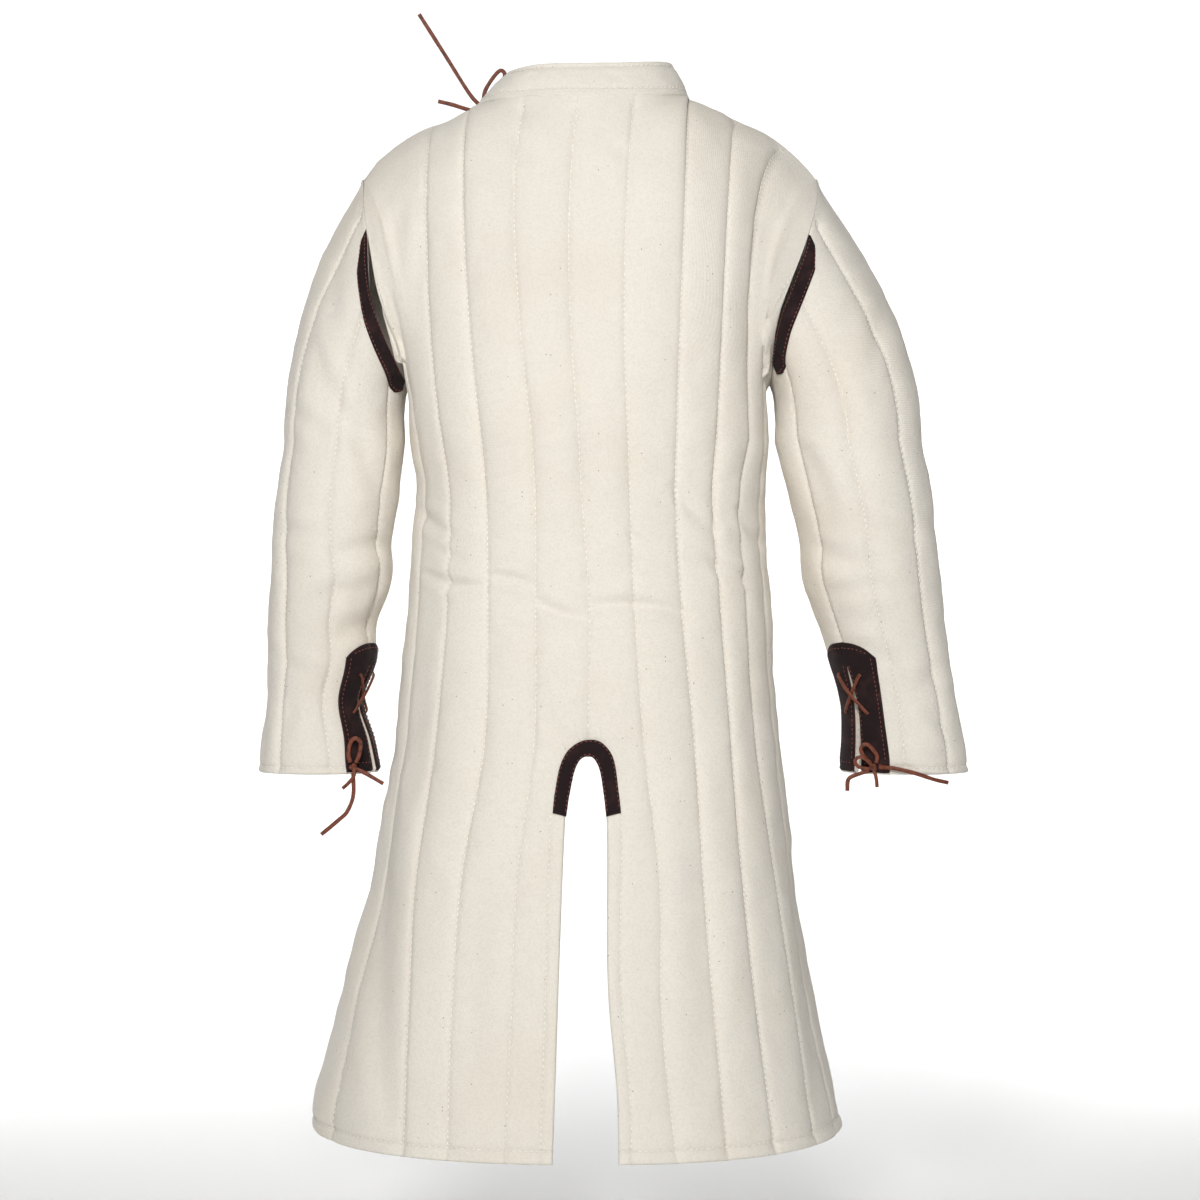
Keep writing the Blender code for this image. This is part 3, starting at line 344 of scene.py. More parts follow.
def atLengths(path, distances):
    lengths = lengthsOf(path)
    return np.stack([np.interp(distances, lengths, path[:, axis]) for axis in range(3)], axis=-1)


def evenPoints(points, count):
    path = densePath(points)
    return atLengths(path, np.linspace(0, lengthsOf(path)[-1], count))


# Thongs: each follows the route of its solid

thongs = {"width": 0.0044, "thickness": 0.0022, "sides": 10, "step": 0.0021, "uneven": 0.10,
          "unevenPitch": 130, "knotReach": 0.0034, "knotWidth": 0.0036, "knotThickness": 0.0018,
          "knotDepth": 0.42, "knotTurn": 0.4, "tailWidth": 0.9}
knotPlaces = {
    "collar": (0.1099, -0.0300, 0.0273),
    "cuff_left": (0.2453, 0.0246, -0.6685),
    "cuff_right": (-0.2939, 0.0326, -0.6685),
}
thongRoutes = {
    "collar_loop": ((0.1128, -0.0310, 0.0321), (0.1109, -0.0320, 0.0453), (0.1019, -0.0330, 0.0603),
                    (0.0944, -0.0330, 0.0673), (0.0899, -0.0320, 0.0623), (0.0939, -0.0310, 0.0513),
                    (0.1014, -0.0300, 0.0413), (0.1070, -0.0300, 0.0321)),
    "collar_long_tail": ((0.1156, -0.0285, 0.0285), (0.1279, -0.0280, 0.0423), (0.1539, -0.0260, 0.0833),
                         (0.1804, -0.0240, 0.1247)),
    "collar_short_tail": ((0.1144, -0.0300, 0.0237), (0.1279, -0.0280, 0.0245), (0.1449, -0.0260, 0.0293),
                          (0.1604, -0.0250, 0.0329)),
    "cuff_left_loop": ((0.2482, 0.0246, -0.6637), (0.2502, 0.0251, -0.6550), (0.2482, 0.0241, -0.6430),
                       (0.2427, 0.0241, -0.6385), (0.2377, 0.0236, -0.6440), (0.2392, 0.0246, -0.6560),
                       (0.2424, 0.0246, -0.6637)),
    "cuff_left_long_tail": ((0.2453, 0.0246, -0.6745), (0.2451, 0.0261, -0.6978), (0.2513, 0.0266, -0.7144),
                            (0.2596, 0.0266, -0.7228), (0.2783, 0.0256, -0.7384)),
    "cuff_left_short_tail": ((0.2430, 0.0246, -0.6703), (0.2402, 0.0246, -0.6715), (0.2315, 0.0251, -0.6755),
                             (0.2140, 0.0246, -0.6858)),
    "cuff_right_loop": ((-0.2910, 0.0326, -0.6637), (-0.2849, 0.0328, -0.6575), (-0.2809, 0.0328, -0.6495),
                        (-0.2859, 0.0328, -0.6440), (-0.2929, 0.0328, -0.6490), (-0.2979, 0.0326, -0.6570),
                        (-0.2968, 0.0326, -0.6637)),
    "cuff_right_long_tail": ((-0.2999, 0.0328, -0.6680), (-0.3159, 0.0398, -0.6690),
                             (-0.3363, 0.0408, -0.6739), (-0.3564, 0.0373, -0.6805),
                             (-0.3716, 0.0303, -0.6843)),
    "cuff_right_short_tail": ((-0.2890, 0.0326, -0.6719), (-0.2804, 0.0338, -0.6745),
                              (-0.2684, 0.0338, -0.6800), (-0.2669, 0.0333, -0.6926)),
}


def finishPiece(name, bm, material, sharpness=60):
    bmesh.ops.recalc_face_normals(bm, faces=bm.faces[:])
    mesh = bpy.data.meshes.new(name)
    bm.to_mesh(mesh)
    bm.free()
    mesh.shade_smooth()
    mesh.set_sharp_from_angle(angle=math.radians(sharpness))
    mesh.materials.append(materials[material])
    piece = bpy.data.objects.new(name, mesh)
    bpy.context.scene.collection.objects.link(piece)
    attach(piece, "root")
    return piece


def ringEdges(ring):
    return list({edge for vert in ring for edge in vert.link_edges if all(v in ring for v in edge.verts)})


def addStrap(bm, path, outward, width, thickness, closed=False):
    # A flat strap: one ring of points, grown from step to step along the path
    path = np.asarray(path, float)
    ways = unit(np.roll(path, -1, 0) - np.roll(path, 1, 0) if closed else np.gradient(path, axis=0))
    sideways = unit(np.cross(ways, outward))
    raised = np.cross(sideways, ways)
    rings = [bmesh.ops.create_circle(bm, segments=thongs["sides"], radius=1.0)["verts"]]
    for _ in path[1:]:
        grown = bmesh.ops.extrude_edge_only(bm, edges=ringEdges(rings[-1]))["geom"]
        rings.append([item for item in grown if isinstance(item, bmesh.types.BMVert)])
    for i, ring in enumerate(rings):
        uneven = 1 + thongs["uneven"] * noise.noise(Vector(path[i]) * thongs["unevenPitch"])
        for vert in ring:
            vert.co = Vector(path[i] + sideways[i] * vert.co.x * width / 2 * uneven
                             + raised[i] * vert.co.y * thickness / 2)
    ends = ringEdges(rings[0]) + ringEdges(rings[-1])
    if closed:
        bmesh.ops.bridge_loops(bm, edges=ends)
    else:
        bmesh.ops.holes_fill(bm, edges=ends, sides=0)


def makeTail(name, route, outward, replaced):
    length = float(lengthsOf(densePath(route))[-1])
    path = evenPoints(route, max(8, int(length / thongs["step"])))
    bm = bmesh.new()
    addStrap(bm, path, outward, thongs["width"], thongs["thickness"])
    piece = finishPiece(name, bm, "thong")
    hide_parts(replaced)
    return piece


for name, route in thongRoutes.items():
    words = name.split("_")
    if words[-1] == "loop":
        makeTail(f"{name}_thong", route, (0, 1, 0), name)
    else:
        makeTail(f"{name}_thong", route, (0, 1, 0), name)
print("free thongs made")


# Relief: everything that the quilting, the wear and the folds add to a plain surface

quilt = {"puff": 0.0036, "unevenPuff": 0.45, "roundness": 2.6, "groove": 0.0014, "grooveWidth": 0.0024,
         "lump": 0.0015, "swell": 0.0014, "pucker": 0.0013, "puckerReach": 0.012, "puckerFrom": 0.002,
         "broad": (9, 9, 7), "small": (34, 34, 42), "wrinkle": (26, 26, 95),
         "hemStitch": 0.0125, "hemGroove": 0.0018, "hemFade": (-0.012, 0.010), "edgeRadius": 0.0030,
         "rimFade": 0.016}
folds = {"endShare": 0.06, "endWidth": 0.65, "widening": 0.5, "sharpness": 1.4, "ridgeAway": 1.9,
         "ridgeHeight": 0.45, "rimFade": 0.02}


def gridNormals(grid, closed=False):
    across = np.roll(grid, -1, 1) - np.roll(grid, 1, 1) if closed else np.gradient(grid, axis=1)
    normals = unit(np.cross(across, np.gradient(grid, axis=0)))
    row = len(grid) * 3 // 4
    middle = grid[row].mean(axis=0) if closed else np.array([0, 0, grid[row, 0, 2]])
    outward = grid[row, grid.shape[1] // 2] - middle
    return -normals if normals[row, grid.shape[1] // 2] @ outward < 0 else normals


def alongRows(grid):
    steps = np.linalg.norm(np.diff(grid, axis=1), axis=2)
    return np.concatenate([np.zeros((len(grid), 1)), np.cumsum(steps, axis=1)], axis=1)


def alongColumns(grid):
    steps = np.linalg.norm(np.diff(grid, axis=0), axis=2)
    return np.concatenate([np.zeros((1, grid.shape[1])), np.cumsum(steps, axis=0)], axis=0)


def seamDistances(across, lines):
    # For every point: how far the nearest line is, and half the width of its channel
    nearest = np.full(across.shape, 1.0)
    half = np.full(across.shape, 0.03)
    for first, last in zip(lines, lines[1:]):
        low, high = across[:, first:first + 1], across[:, last:last + 1]
        part = slice(first, last + 1)
        inside = np.minimum(np.abs(across[:, part] - low), np.abs(high - across[:, part]))
        closer = inside <= nearest[:, part]
        nearest[:, part] = np.where(closer, inside, nearest[:, part])
        half[:, part] = np.where(closer, np.maximum((high - low) / 2, 0.004), half[:, part])
    return nearest, half


def noiseField(grid, scale, offset):
    flat = grid.reshape(-1, 3)
    values = [noise.noise(Vector((x * scale[0] + offset, y * scale[1], z * scale[2]))) for x, y, z in flat]
    return np.array(values).reshape(grid.shape[:2])


def quiltRelief(grid, nearest, half, fromTop, offset):
    rounded = 1 - (1 - np.clip(nearest / half, 0, 1)) ** quilt["roundness"]
    broad = noiseField(grid, quilt["broad"], offset)
    small = noiseField(grid, quilt["small"], offset + 7)
    wrinkle = noiseField(grid, quilt["wrinkle"], offset + 19)
    besideSeam = np.exp(-nearest / quilt["puckerReach"]) * (1 - np.exp(-nearest / quilt["puckerFrom"]))
    relief = -quilt["puff"] * (1 + quilt["unevenPuff"] * broad) * (1 - rounded)
    relief -= dent(nearest, quilt["groove"], quilt["grooveWidth"])
    relief += (quilt["lump"] * small + quilt["swell"] * broad) * rounded
    relief += quilt["pucker"] * wrinkle * besideSeam
    return relief * fade(fromTop, 0.0, quilt["rimFade"])


def dent(distance, depth, width):
    return depth * np.exp(-(distance / width) ** 2)


def edgeDistance(surface):
    down, along = alongColumns(surface), alongRows(surface)
    return np.minimum(np.minimum(down, down[-1:] - down), np.minimum(along, along[:, -1:] - along))


def rounding(distance, radius):
    share = np.clip(1 - distance / radius, 0, 1)
    return radius * (1 - np.sqrt(np.maximum(1 - share ** 2, 0)))


def creaseRelief(grid, creases):
    # Soft troughs with a ridge on each side, at places read from straight ahead
    flat = grid[..., [0, 2]]
    relief = np.zeros(flat.shape[:2])
    for crease in creases:
        start = np.array([crease["x1"], crease["z1"]])
        end = np.array([crease["x2"], crease["z2"]])
        way = (end - start) / max(np.linalg.norm(end - start), 1e-6)
        aside = np.array([-way[1], way[0]])
        length = np.linalg.norm(end - start)
        along = np.clip(((flat - start) @ way) / length, 0, 1)
        bow = crease["bow"] * 4 * along * (1 - along)
        spine = start + along[..., None] * (end - start) + bow[..., None] * aside
        far = np.linalg.norm(flat - spine, axis=-1)
        taper = np.sin(math.pi * (folds["endShare"] + (1 - 2 * folds["endShare"]) * along)) ** 0.8
        width = crease["width"] * (folds["endWidth"] + folds["widening"] * taper)
        trough = np.exp(-(far / width) ** folds["sharpness"])
        ridge = dent(far - folds["ridgeAway"] * width, folds["ridgeHeight"], width)
        relief += crease["depth"] * taper * (ridge - trough)
    return relief


def makeWall(name, outer, inner, cloth, seam, material, slot, keep=None):
    # One closed wall: a grid for the inside, grown outward into the outside
    rows, count = outer.shape[:2]
    bm = bmesh.new()
    bmesh.ops.create_grid(bm, x_segments=count - 1, y_segments=rows - 1, size=0.5)
    spot = bm.verts.layers.int.new("spot")
    for vert in bm.verts:
        vert[spot] = round((0.5 - vert.co.y) * (rows - 1)) * count + round((vert.co.x + 0.5) * (count - 1))
    if keep:
        unwanted = [face for face in bm.faces
                    if not keep(*divmod(min(vert[spot] for vert in face.verts), count))]
        bmesh.ops.delete(bm, geom=unwanted, context="FACES")
    inside = inner.reshape(-1, 3)
    outside = outer.reshape(-1, 3)
    for vert in bm.verts:
        vert.co = inside[vert[spot]]
    grown = bmesh.ops.extrude_face_region(bm, geom=bm.faces[:], use_keep_orig=True)["geom"]
    for item in grown:
        if isinstance(item, bmesh.types.BMVert):
            item.co = outside[item[spot]]
    piece = finishPiece(name, bm, material, 75)
    mesh = piece.data
    spots = np.zeros(len(mesh.vertices), np.int32)
    mesh.attributes["spot"].data.foreach_get("value", spots)
    corners = np.zeros(len(mesh.loops), np.int32)
    mesh.loops.foreach_get("vertex_index", corners)
    layer = mesh.uv_layers.new(name="cloth")
    layer.data.foreach_set("uv", cloth.reshape(-1, 2)[spots[corners]].astype(np.float32).ravel())
    distances = seam.ravel()[spots].astype(np.float32)
    mesh.attributes.new("seam", "FLOAT", "POINT").data.foreach_set("value", distances)
    mesh.attributes.remove(mesh.attributes["spot"])
    return piece


def addStitches(bm, path, outward, sewing):
    lengths = lengthsOf(path)
    count = int(lengths[-1] / sewing["pitch"])
    if count < 1:
        return
    middles = (np.arange(count) + 0.5) * lengths[-1] / count
    places = atLengths(path, middles)
    ways = unit(atLengths(path, middles + 0.001) - atLengths(path, middles - 0.001))
    ups = unit(valuesAt(outward, lengths, middles))
    sides = unit(np.cross(ups, ways))
    for place, way, side, up in zip(places + ups * sewing["lift"], ways, sides, ups):
        half = (way * sewing["length"] / 2, side * sewing["width"] / 2, up * sewing["height"] / 2)
        matrix = Matrix([*np.column_stack([*half, place]).tolist(), (0, 0, 0, 1)])
        bmesh.ops.create_icosphere(bm, subdivisions=1, radius=1.0, matrix=matrix)


def valuesAt(values, lengths, distances):
    return np.stack([np.interp(distances, lengths, values[:, axis]) for axis in range(3)], axis=-1)


# Body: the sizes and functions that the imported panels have, on a finer grid

body = {"wall": 0.0075, "seamRim": 0.0065, "seamGap": 0.0003, "leastFromSeam": 0.0015, "chest": -0.330,
        "hem": -1.040, "squareness": 2.3, "upperRows": 44, "rowStep": 0.0056, "fineStep": 0.0030,
        "fineFrom": -0.374, "fineTo": -0.535, "channelColumns": 14, "crowding": 0.09, "hemRoom": 0.0265,
        "sewnFromHem": 0.0135, "sewnTo": 0.02, "seamHelp": 0.020, "rimHelp": 0.030, "innerTurn": 0.9,
        "sideRelief": 0.8}
rise = {"lean": 0.48, "firstHandle": 0.40, "armholeHandle": 0.36, "depth": 0.120, "drop": 0.110,
        "overShoulder": (0.10, -0.86, 0.46), "upSide": (0.25, 0.05, 0.96), "neckRim": (0.75, -0.66),
        "armholeCentre": (0.200, 0.000, -0.165)}
neck = {"centre": 0.008, "halfWidth": 0.1125, "back": 0.072, "front": 0.088, "left": 0.020, "right": 0.030,
        "backHeight": 0.020, "frontHeight": -0.035}
bodySizes = sized("height left right back front", (
    (-0.330, 0.1885, 0.1885, 0.135, 0.125),
    (-0.382, 0.1810, 0.1850, 0.130, 0.124),
    (-0.440, 0.1870, 0.1850, 0.125, 0.124),
    (-0.495, 0.1900, 0.1900, 0.125, 0.126),
    (-0.580, 0.1970, 0.1930, 0.137, 0.138),
    (-0.663, 0.2054, 0.2012, 0.148, 0.150),
    (-0.705, 0.2155, 0.2065, 0.155, 0.156),
    (-0.790, 0.2290, 0.2160, 0.167, 0.167),
    (-0.893, 0.2557, 0.2337, 0.185, 0.180),
    (-0.977, 0.2788, 0.2494, 0.199, 0.191),
    (-1.019, 0.2892, 0.2578, 0.206, 0.197),
    (-1.040, 0.2885, 0.2640, 0.210, 0.200),
))
backLines = sized("height 1 2 3 4 5 6 7 8", (
    (-0.315, 0.155, 0.112, 0.059, 0.011, -0.039, -0.090, -0.133, -0.170),
    (-0.382, 0.145, 0.106, 0.055, 0.008, -0.041, -0.088, -0.127, -0.157),
    (-0.495, 0.146, 0.103, 0.054, 0.000, -0.0455, -0.094, -0.135, -0.163),
    (-0.635, 0.158, 0.106, 0.055, 0.001, -0.055, -0.107, -0.145, -0.173),
    (-0.775, 0.176, 0.129, 0.072, 0.003, -0.071, -0.116, -0.156, -0.191),
    (-0.895, 0.180, 0.136, 0.076, 0.005, -0.072, -0.125, -0.168, -0.208),
    (-1.040, 0.184, 0.139, 0.082, 0.003, -0.086, -0.137, -0.186, -0.231),
))
backBows = {"left": 0.0, "0": 0.010, "1": 0.020, "2": 0.018, "3": 0.017, "4": 0.013, "5": 0.009,
            "6": -0.002, "7": -0.007, "8": 0.007, "9": 0.0, "right": 0.0}
frontAngles = {"right": -90.0, "f9": -77.0, "f8": -64.0, "f7": -50.0, "f6": -36.0, "f5": -20.0, "f4": 0.0,
               "f3": 17.0, "closure": 34.0, "neck": 38.0, "f1": 54.0, "f0": 72.0, "left": 90.0}
ventShape = {"tip": 0.12, "from": 0.50, "full": 0.60}
vents = {
    1: {"line": "4", "left": "3", "right": "5", "top": -0.646, "rise": 0.0, "sewnFrom": -0.706,
        "sizes": sized("height left right band", (
            (-0.560, 0.0185, -0.0180, 0.0170),
            (-0.647, 0.0200, -0.0150, 0.0150),
            (-0.710, 0.0235, -0.0176, 0.0145),
            (-0.885, 0.0300, -0.0194, 0.0125),
            (-0.982, 0.0330, -0.0280, 0.0125),
            (-1.040, 0.0350, -0.0290, 0.0125),
        ))},
    -1: {"line": "f4", "left": "f3", "right": "f5", "top": -0.648, "rise": 0.026, "sewnFrom": -0.662,
         "sizes": sized("height left right band", (
             (-0.560, 0.0250, -0.0220, 0.0150),
             (-0.647, 0.0280, -0.0230, 0.0140),
             (-0.710, 0.0330, -0.0240, 0.0130),
             (-0.885, 0.0400, -0.0280, 0.0125),
             (-0.982, 0.0440, -0.0360, 0.0125),
             (-1.040, 0.0480, -0.0400, 0.0125),
         ))},
}
shoulderSizes = {
    1: sized("across height", ((0.1205, 0.0200), (0.1457, 0.0075), (0.1750, -0.0024), (0.1990, -0.0166),
                               (0.2253, -0.0386), (0.2370, -0.053))),
    -1: sized("across height", ((0.1045, 0.0300), (0.1570, 0.0060), (0.1880, -0.0085), (0.2170, -0.0313),
                                (0.2375, -0.053))),
}
frontArmhole = ((0.2290, -0.040, -0.085), (0.2120, -0.065, -0.135), (0.2000, -0.075, -0.185),
                (0.1920, -0.062, -0.230), (0.1890, -0.030, -0.262), (0.1890, 0.000, -0.270))
armholeSizes = {
    (1, 1): ((0.2370, 0.000, -0.053), (0.2320, 0.045, -0.090), (0.2225, 0.071, -0.144),
             (0.2160, 0.078, -0.178), (0.2070, 0.075, -0.208), (0.1975, 0.060, -0.236),
             (0.1905, 0.032, -0.261), (0.1890, 0.000, -0.270)),
    (-1, 1): ((0.2375, 0.000, -0.053), (0.2340, 0.045, -0.085), (0.2213, 0.072, -0.129),
              (0.2040, 0.080, -0.174), (0.1950, 0.078, -0.199), (0.1895, 0.065, -0.228),
              (0.1890, 0.030, -0.262), (0.1890, 0.000, -0.270)),
    (1, -1): ((0.2370, 0.000, -0.053), *frontArmhole),
    (-1, -1): ((0.2375, 0.000, -0.053), *frontArmhole),
}
armholePaths = {key: densePath([(key[0] * x, y, z) for x, y, z in points], 40)
                for key, points in armholeSizes.items()}
backChannels = (
    ("left", "0", (("armLeft", 1.0, 0.5, 5),)),
    ("0", "1", (("armLeft", 0.5, 0.0, 5), ("shoulder", 0.2370, 0.200, 1), ("shoulder", 0.200, 0.165, 1))),
    ("1", "2", (("shoulder", 0.165, 0.1205, 3),)),
    ("2", "3", (("neck", 90.0, 31.0, 3),)),
    ("3", "4", (("neck", 31.0, 1.5, 3),)),
    ("4", "5", (("neck", 1.5, -29.0, 3),)),
    ("5", "6", (("neck", -29.0, -90.0, 3),)),
    ("6", "7", (("shoulder", -0.1045, -0.155, 3),)),
    ("7", "8", (("shoulder", -0.155, -0.205, 3),)),
    ("8", "9", (("shoulder", -0.205, -0.2375, 1), ("armRight", 0.0, 0.5, 6))),
    ("9", "right", (("armRight", 0.5, 1.0, 6),)),
)
frontChannels = (
    ("left", "f0", (("armLeft", 1.0, 0.5, 5),)),
    ("f0", "f1", (("armLeft", 0.5, 0.0, 5), ("shoulder", 0.2370, 0.200, 1), ("shoulder", 0.200, 0.165, 1))),
    ("f1", "neck", (("shoulder", 0.165, 0.1205, 3),)),
    ("neck", "closure", (("neck", 90.0, 72.0, 1),)),
    ("closure", "f3", (("neck", 72.0, 38.0, 3),)),
    ("f3", "f4", (("neck", 38.0, 0.0, 3),)),
    ("f4", "f5", (("neck", 0.0, -40.0, 3),)),
    ("f5", "f6", (("neck", -40.0, -90.0, 3),)),
    ("f6", "f7", (("shoulder", -0.1045, -0.155, 3),)),
    ("f7", "f8", (("shoulder", -0.155, -0.205, 3),)),
    ("f8", "f9", (("shoulder", -0.205, -0.2375, 1), ("armRight", 0.0, 0.5, 6))),
    ("f9", "right", (("armRight", 0.5, 1.0, 6),)),
)
ventPlaces = (0, 0.06, 0.15, 0.30, 0.50, 0.75, 0.90, 0.97, 1, 1.04, 1.10, 1.20, 1.40, 1.62, 1.82, 1.94, 2,
              2.06, 2.16, 2.32, 2.50, 2.68, 2.83, 2.93, 2.97, 3)
hemSteps = (0.0230, 0.0190, 0.0160, 0.0142, 0.0125, 0.0108, 0.0090, 0.0070, 0.0050, 0.0034, 0.0021, 0.0011,
            0.0004, 0.0)
lowerHeights = [*np.arange(body["chest"], body["fineFrom"] + 0.002, -body["rowStep"]),
                *np.arange(body["fineFrom"], body["fineTo"], -body["fineStep"]),
                *np.arange(body["fineTo"] - 0.003, body["hem"] + body["hemRoom"], -body["rowStep"])]
lowerHeights += [body["hem"] + step for step in hemSteps]


def bodyRow(height, face, angles):
    turned = np.radians(angles)
    half = np.where(turned > 0, smooth(bodySizes, height, "left"), smooth(bodySizes, height, "right"))
    depth = smooth(bodySizes, height, "back" if face > 0 else "front")
    power = 2 / body["squareness"]
    across = np.sign(turned) * half * np.abs(np.sin(turned)) ** power
    return np.stack([across, face * depth * np.maximum(np.cos(turned), 0) ** power,
                     np.full(len(turned), height)], axis=-1)


def angleAt(across, height):
    half = smooth(bodySizes, height, "left" if across > 0 else "right")
    share = min(abs(across) / half, 1.0) ** (body["squareness"] / 2)
    return math.copysign(math.degrees(math.asin(share)), across)


def lineAngle(line, height, face):
    if face < 0:
        return frontAngles[line]
    if line in ("left", "right"):
        return 90.0 if line == "left" else -90.0
    if line == "0":
        return (90.0 + lineAngle("1", height, face)) / 2
    if line == "9":
        return (lineAngle("8", height, face) - 90.0) / 2
    return angleAt(smooth(backLines, height, line), height)


def neckPoint(degrees, face):
    turned = math.radians(degrees)
    toLeft = (1 + math.sin(turned)) / 2
    side = neck["right"] + (neck["left"] - neck["right"]) * toLeft
    middle = neck["backHeight"] if face > 0 else neck["frontHeight"]
    depth = neck["back"] if face > 0 else neck["front"]
    across = neck["centre"] + neck["halfWidth"] * math.sin(turned)
    height = side + (middle - side) * math.cos(turned) ** 2
    return np.array([across, face * depth * max(math.cos(turned), 0.0), height])


def neckInward(point):
    inward = unit(np.array([neck["centre"] - point[0], -point[1], 0.0]))
    return unit(inward * rise["neckRim"][0] + np.array([0, 0, rise["neckRim"][1]]))


def armholePoint(side, face, share):
    path = armholePaths[side, face]
    return atLengths(path, np.array([lengthsOf(path)[-1] * share]))[0]


def armholeInward(point):
    x, y, z = rise["armholeCentre"]
    return unit(np.array([math.copysign(x, point[0]), y, z]) - point)


def leaning(way, side, face, share):
    before, after = (armholePoint(side, face, min(max(share + step, 0), 1)) for step in (-0.02, 0.02))
    normal = unit(np.cross(after - before, armholeInward(armholePoint(side, face, share))))
    if normal[0] * side < 0:
        normal = -normal
    way = unit(way)
    return unit(way + normal * max(0.0, rise["lean"] - way @ normal))


def neckEnd(degrees, face):
    point = neckPoint(degrees, face)
    drop = rise["drop"] * math.cos(math.radians(degrees)) ** 2
    return point, np.array([0, face * rise["depth"] - point[1], -drop]), neckInward(point)


def armholeEnd(side, face, share):
    point = armholePoint(side, face, share)
    turned = np.array([side, face, 1])
    overShoulder = np.array(rise["overShoulder"]) * turned
    upSide = np.array(rise["upSide"]) * turned
    if share < 0.5:
        way = overShoulder + (upSide - overShoulder) * share * 2
    else:
        way = upSide + (np.array([0, 0, 1]) - upSide) * (share * 2 - 1)
    handle = leaning(way, side, face, share) * (body["chest"] - point[2]) * rise["armholeHandle"]
    return point, handle, armholeInward(point)


def shoulderEnd(across, face):
    side = 1 if across > 0 else -1
    table = shoulderSizes[side]
    point = np.array([across, 0.0, smooth(table, abs(across), "height", "across")])
    fromNeck = (abs(across) - table[0]["across"]) / (table[-1]["across"] - table[0]["across"])
    neckWay, armWay = neckInward(neckPoint(side * 90, face)), armholeInward(armholePoint(side, face, 0))
    down = np.array([0, 0, -1.0])
    if fromNeck < 0.5:
        rimWay = neckWay + (down - neckWay) * fromNeck * 2
    else:
        rimWay = down + (armWay - down) * (fromNeck * 2 - 1)
    neckHandle = np.array([0, face * rise["depth"], 0])
    return point, neckHandle + (armholeEnd(side, face, 0)[1] - neckHandle) * fromNeck, unit(rimWay)


def endOf(kind, value, face):
    if kind == "neck":
        return neckEnd(value, face)
    if kind == "shoulder":
        return shoulderEnd(value, face)
    return armholeEnd(1 if kind == "armLeft" else -1, face, value)


def channelShares(count):
    # Closer together at the stitched lines than in the middle of the channel
    places = np.linspace(0, 1, count + 1)
    return places - body["crowding"] * np.sin(2 * math.pi * places)


def columnsOf(channels, ventLine):
    columns = []
    for first, last, stretches in channels:
        total = sum(stretch[3] for stretch in stretches)
        count = 4 if total == 1 else body["channelColumns"] + (2 if total > 3 else 0)
        shares = channelShares(count)
        if first == ventLine:
            shares = np.array(ventPlaces) / 3
        if last == ventLine:
            shares = 1 - np.array(ventPlaces[::-1]) / 3
        for share in shares[1 if columns else 0:]:
            place = share * total
            for kind, start, end, length in stretches:
                if place <= length + 1e-9:
                    break
                place -= length
            vent = 3 * share if first == ventLine else 3 * share - 3 if last == ventLine else None
            columns.append({"first": first, "last": last, "share": share, "kind": kind, "vent": vent,
                            "value": start + (end - start) * min(place / length, 1.0)})
    return columns


def lineColumns(columns):
    named = {columns[0]["first"]: 0}
    for c, column in enumerate(columns):
        if column["share"] > 1 - 1e-9:
            named[column["last"]] = c
    return named


def acrossAt(degrees, height):
    half = smooth(bodySizes, height, "left" if degrees > 0 else "right")
    return math.copysign(half * abs(math.sin(math.radians(degrees))) ** (2 / body["squareness"]), degrees)


def ventAngle(angle, column, height, face):
    vent = vents[face]
    side, name = (1, "left") if column["vent"] < 0 else (-1, "right")
    middle, line = (acrossAt(lineAngle(vent[key], height, face), height) for key in ("line", name))
    edge = smooth(vent["sizes"], height, name)
    if vent["rise"]:
        below = min(max((vent["top"] - height) / vent["rise"], 0.0), 1.0)
        opened = ventShape["tip"] + (1 - ventShape["tip"]) * math.sqrt(1 - (1 - below) ** 2)
        edge = middle + (edge - middle) * opened
    places = (middle, edge, edge + side * smooth(vent["sizes"], height, "band"), line)
    across = float(np.interp(abs(column["vent"]), (0, 1, 2, 3), places))
    share = float(fade(-height, ventShape["from"], ventShape["full"]))
    return angle + (angleAt(across, height) - angle) * share


def bodyGrid(columns, face):
    names = {column[key] for column in columns for key in ("first", "last")}
    rows = []
    for height in lowerHeights:
        angles = {name: lineAngle(name, height, face) for name in names}
        wanted = [angles[c["first"]] * (1 - c["share"]) + angles[c["last"]] * c["share"] for c in columns]
        wanted = [angle if c["vent"] is None else ventAngle(angle, c, height, face)
                  for angle, c in zip(wanted, columns)]
        rows.append(bodyRow(height, face, np.array(wanted)))
    lower = np.stack(rows)
    shares = np.linspace(0, 1, body["upperRows"] + 1)[:-1]
    tops, rimWays = [], []
    for column, start in zip(columns, lower[0]):
        end, handle, rimWay = endOf(column["kind"], column["value"], face)
        bow = 0.0
        if face > 0:
            firstBow, lastBow = backBows[column["first"]], backBows[column["last"]]
            bow = firstBow * (1 - column["share"]) + lastBow * column["share"]
        sideways = np.array([bow, 0, 0])
        up = np.array([0, 0, np.linalg.norm(end - start) * rise["firstHandle"]])
        tops.append(bezier(end, end + handle + sideways, start + up + sideways, start, shares))
        rimWays.append(rimWay)
    return np.concatenate([np.stack(tops, axis=1), lower]), np.stack(rimWays)


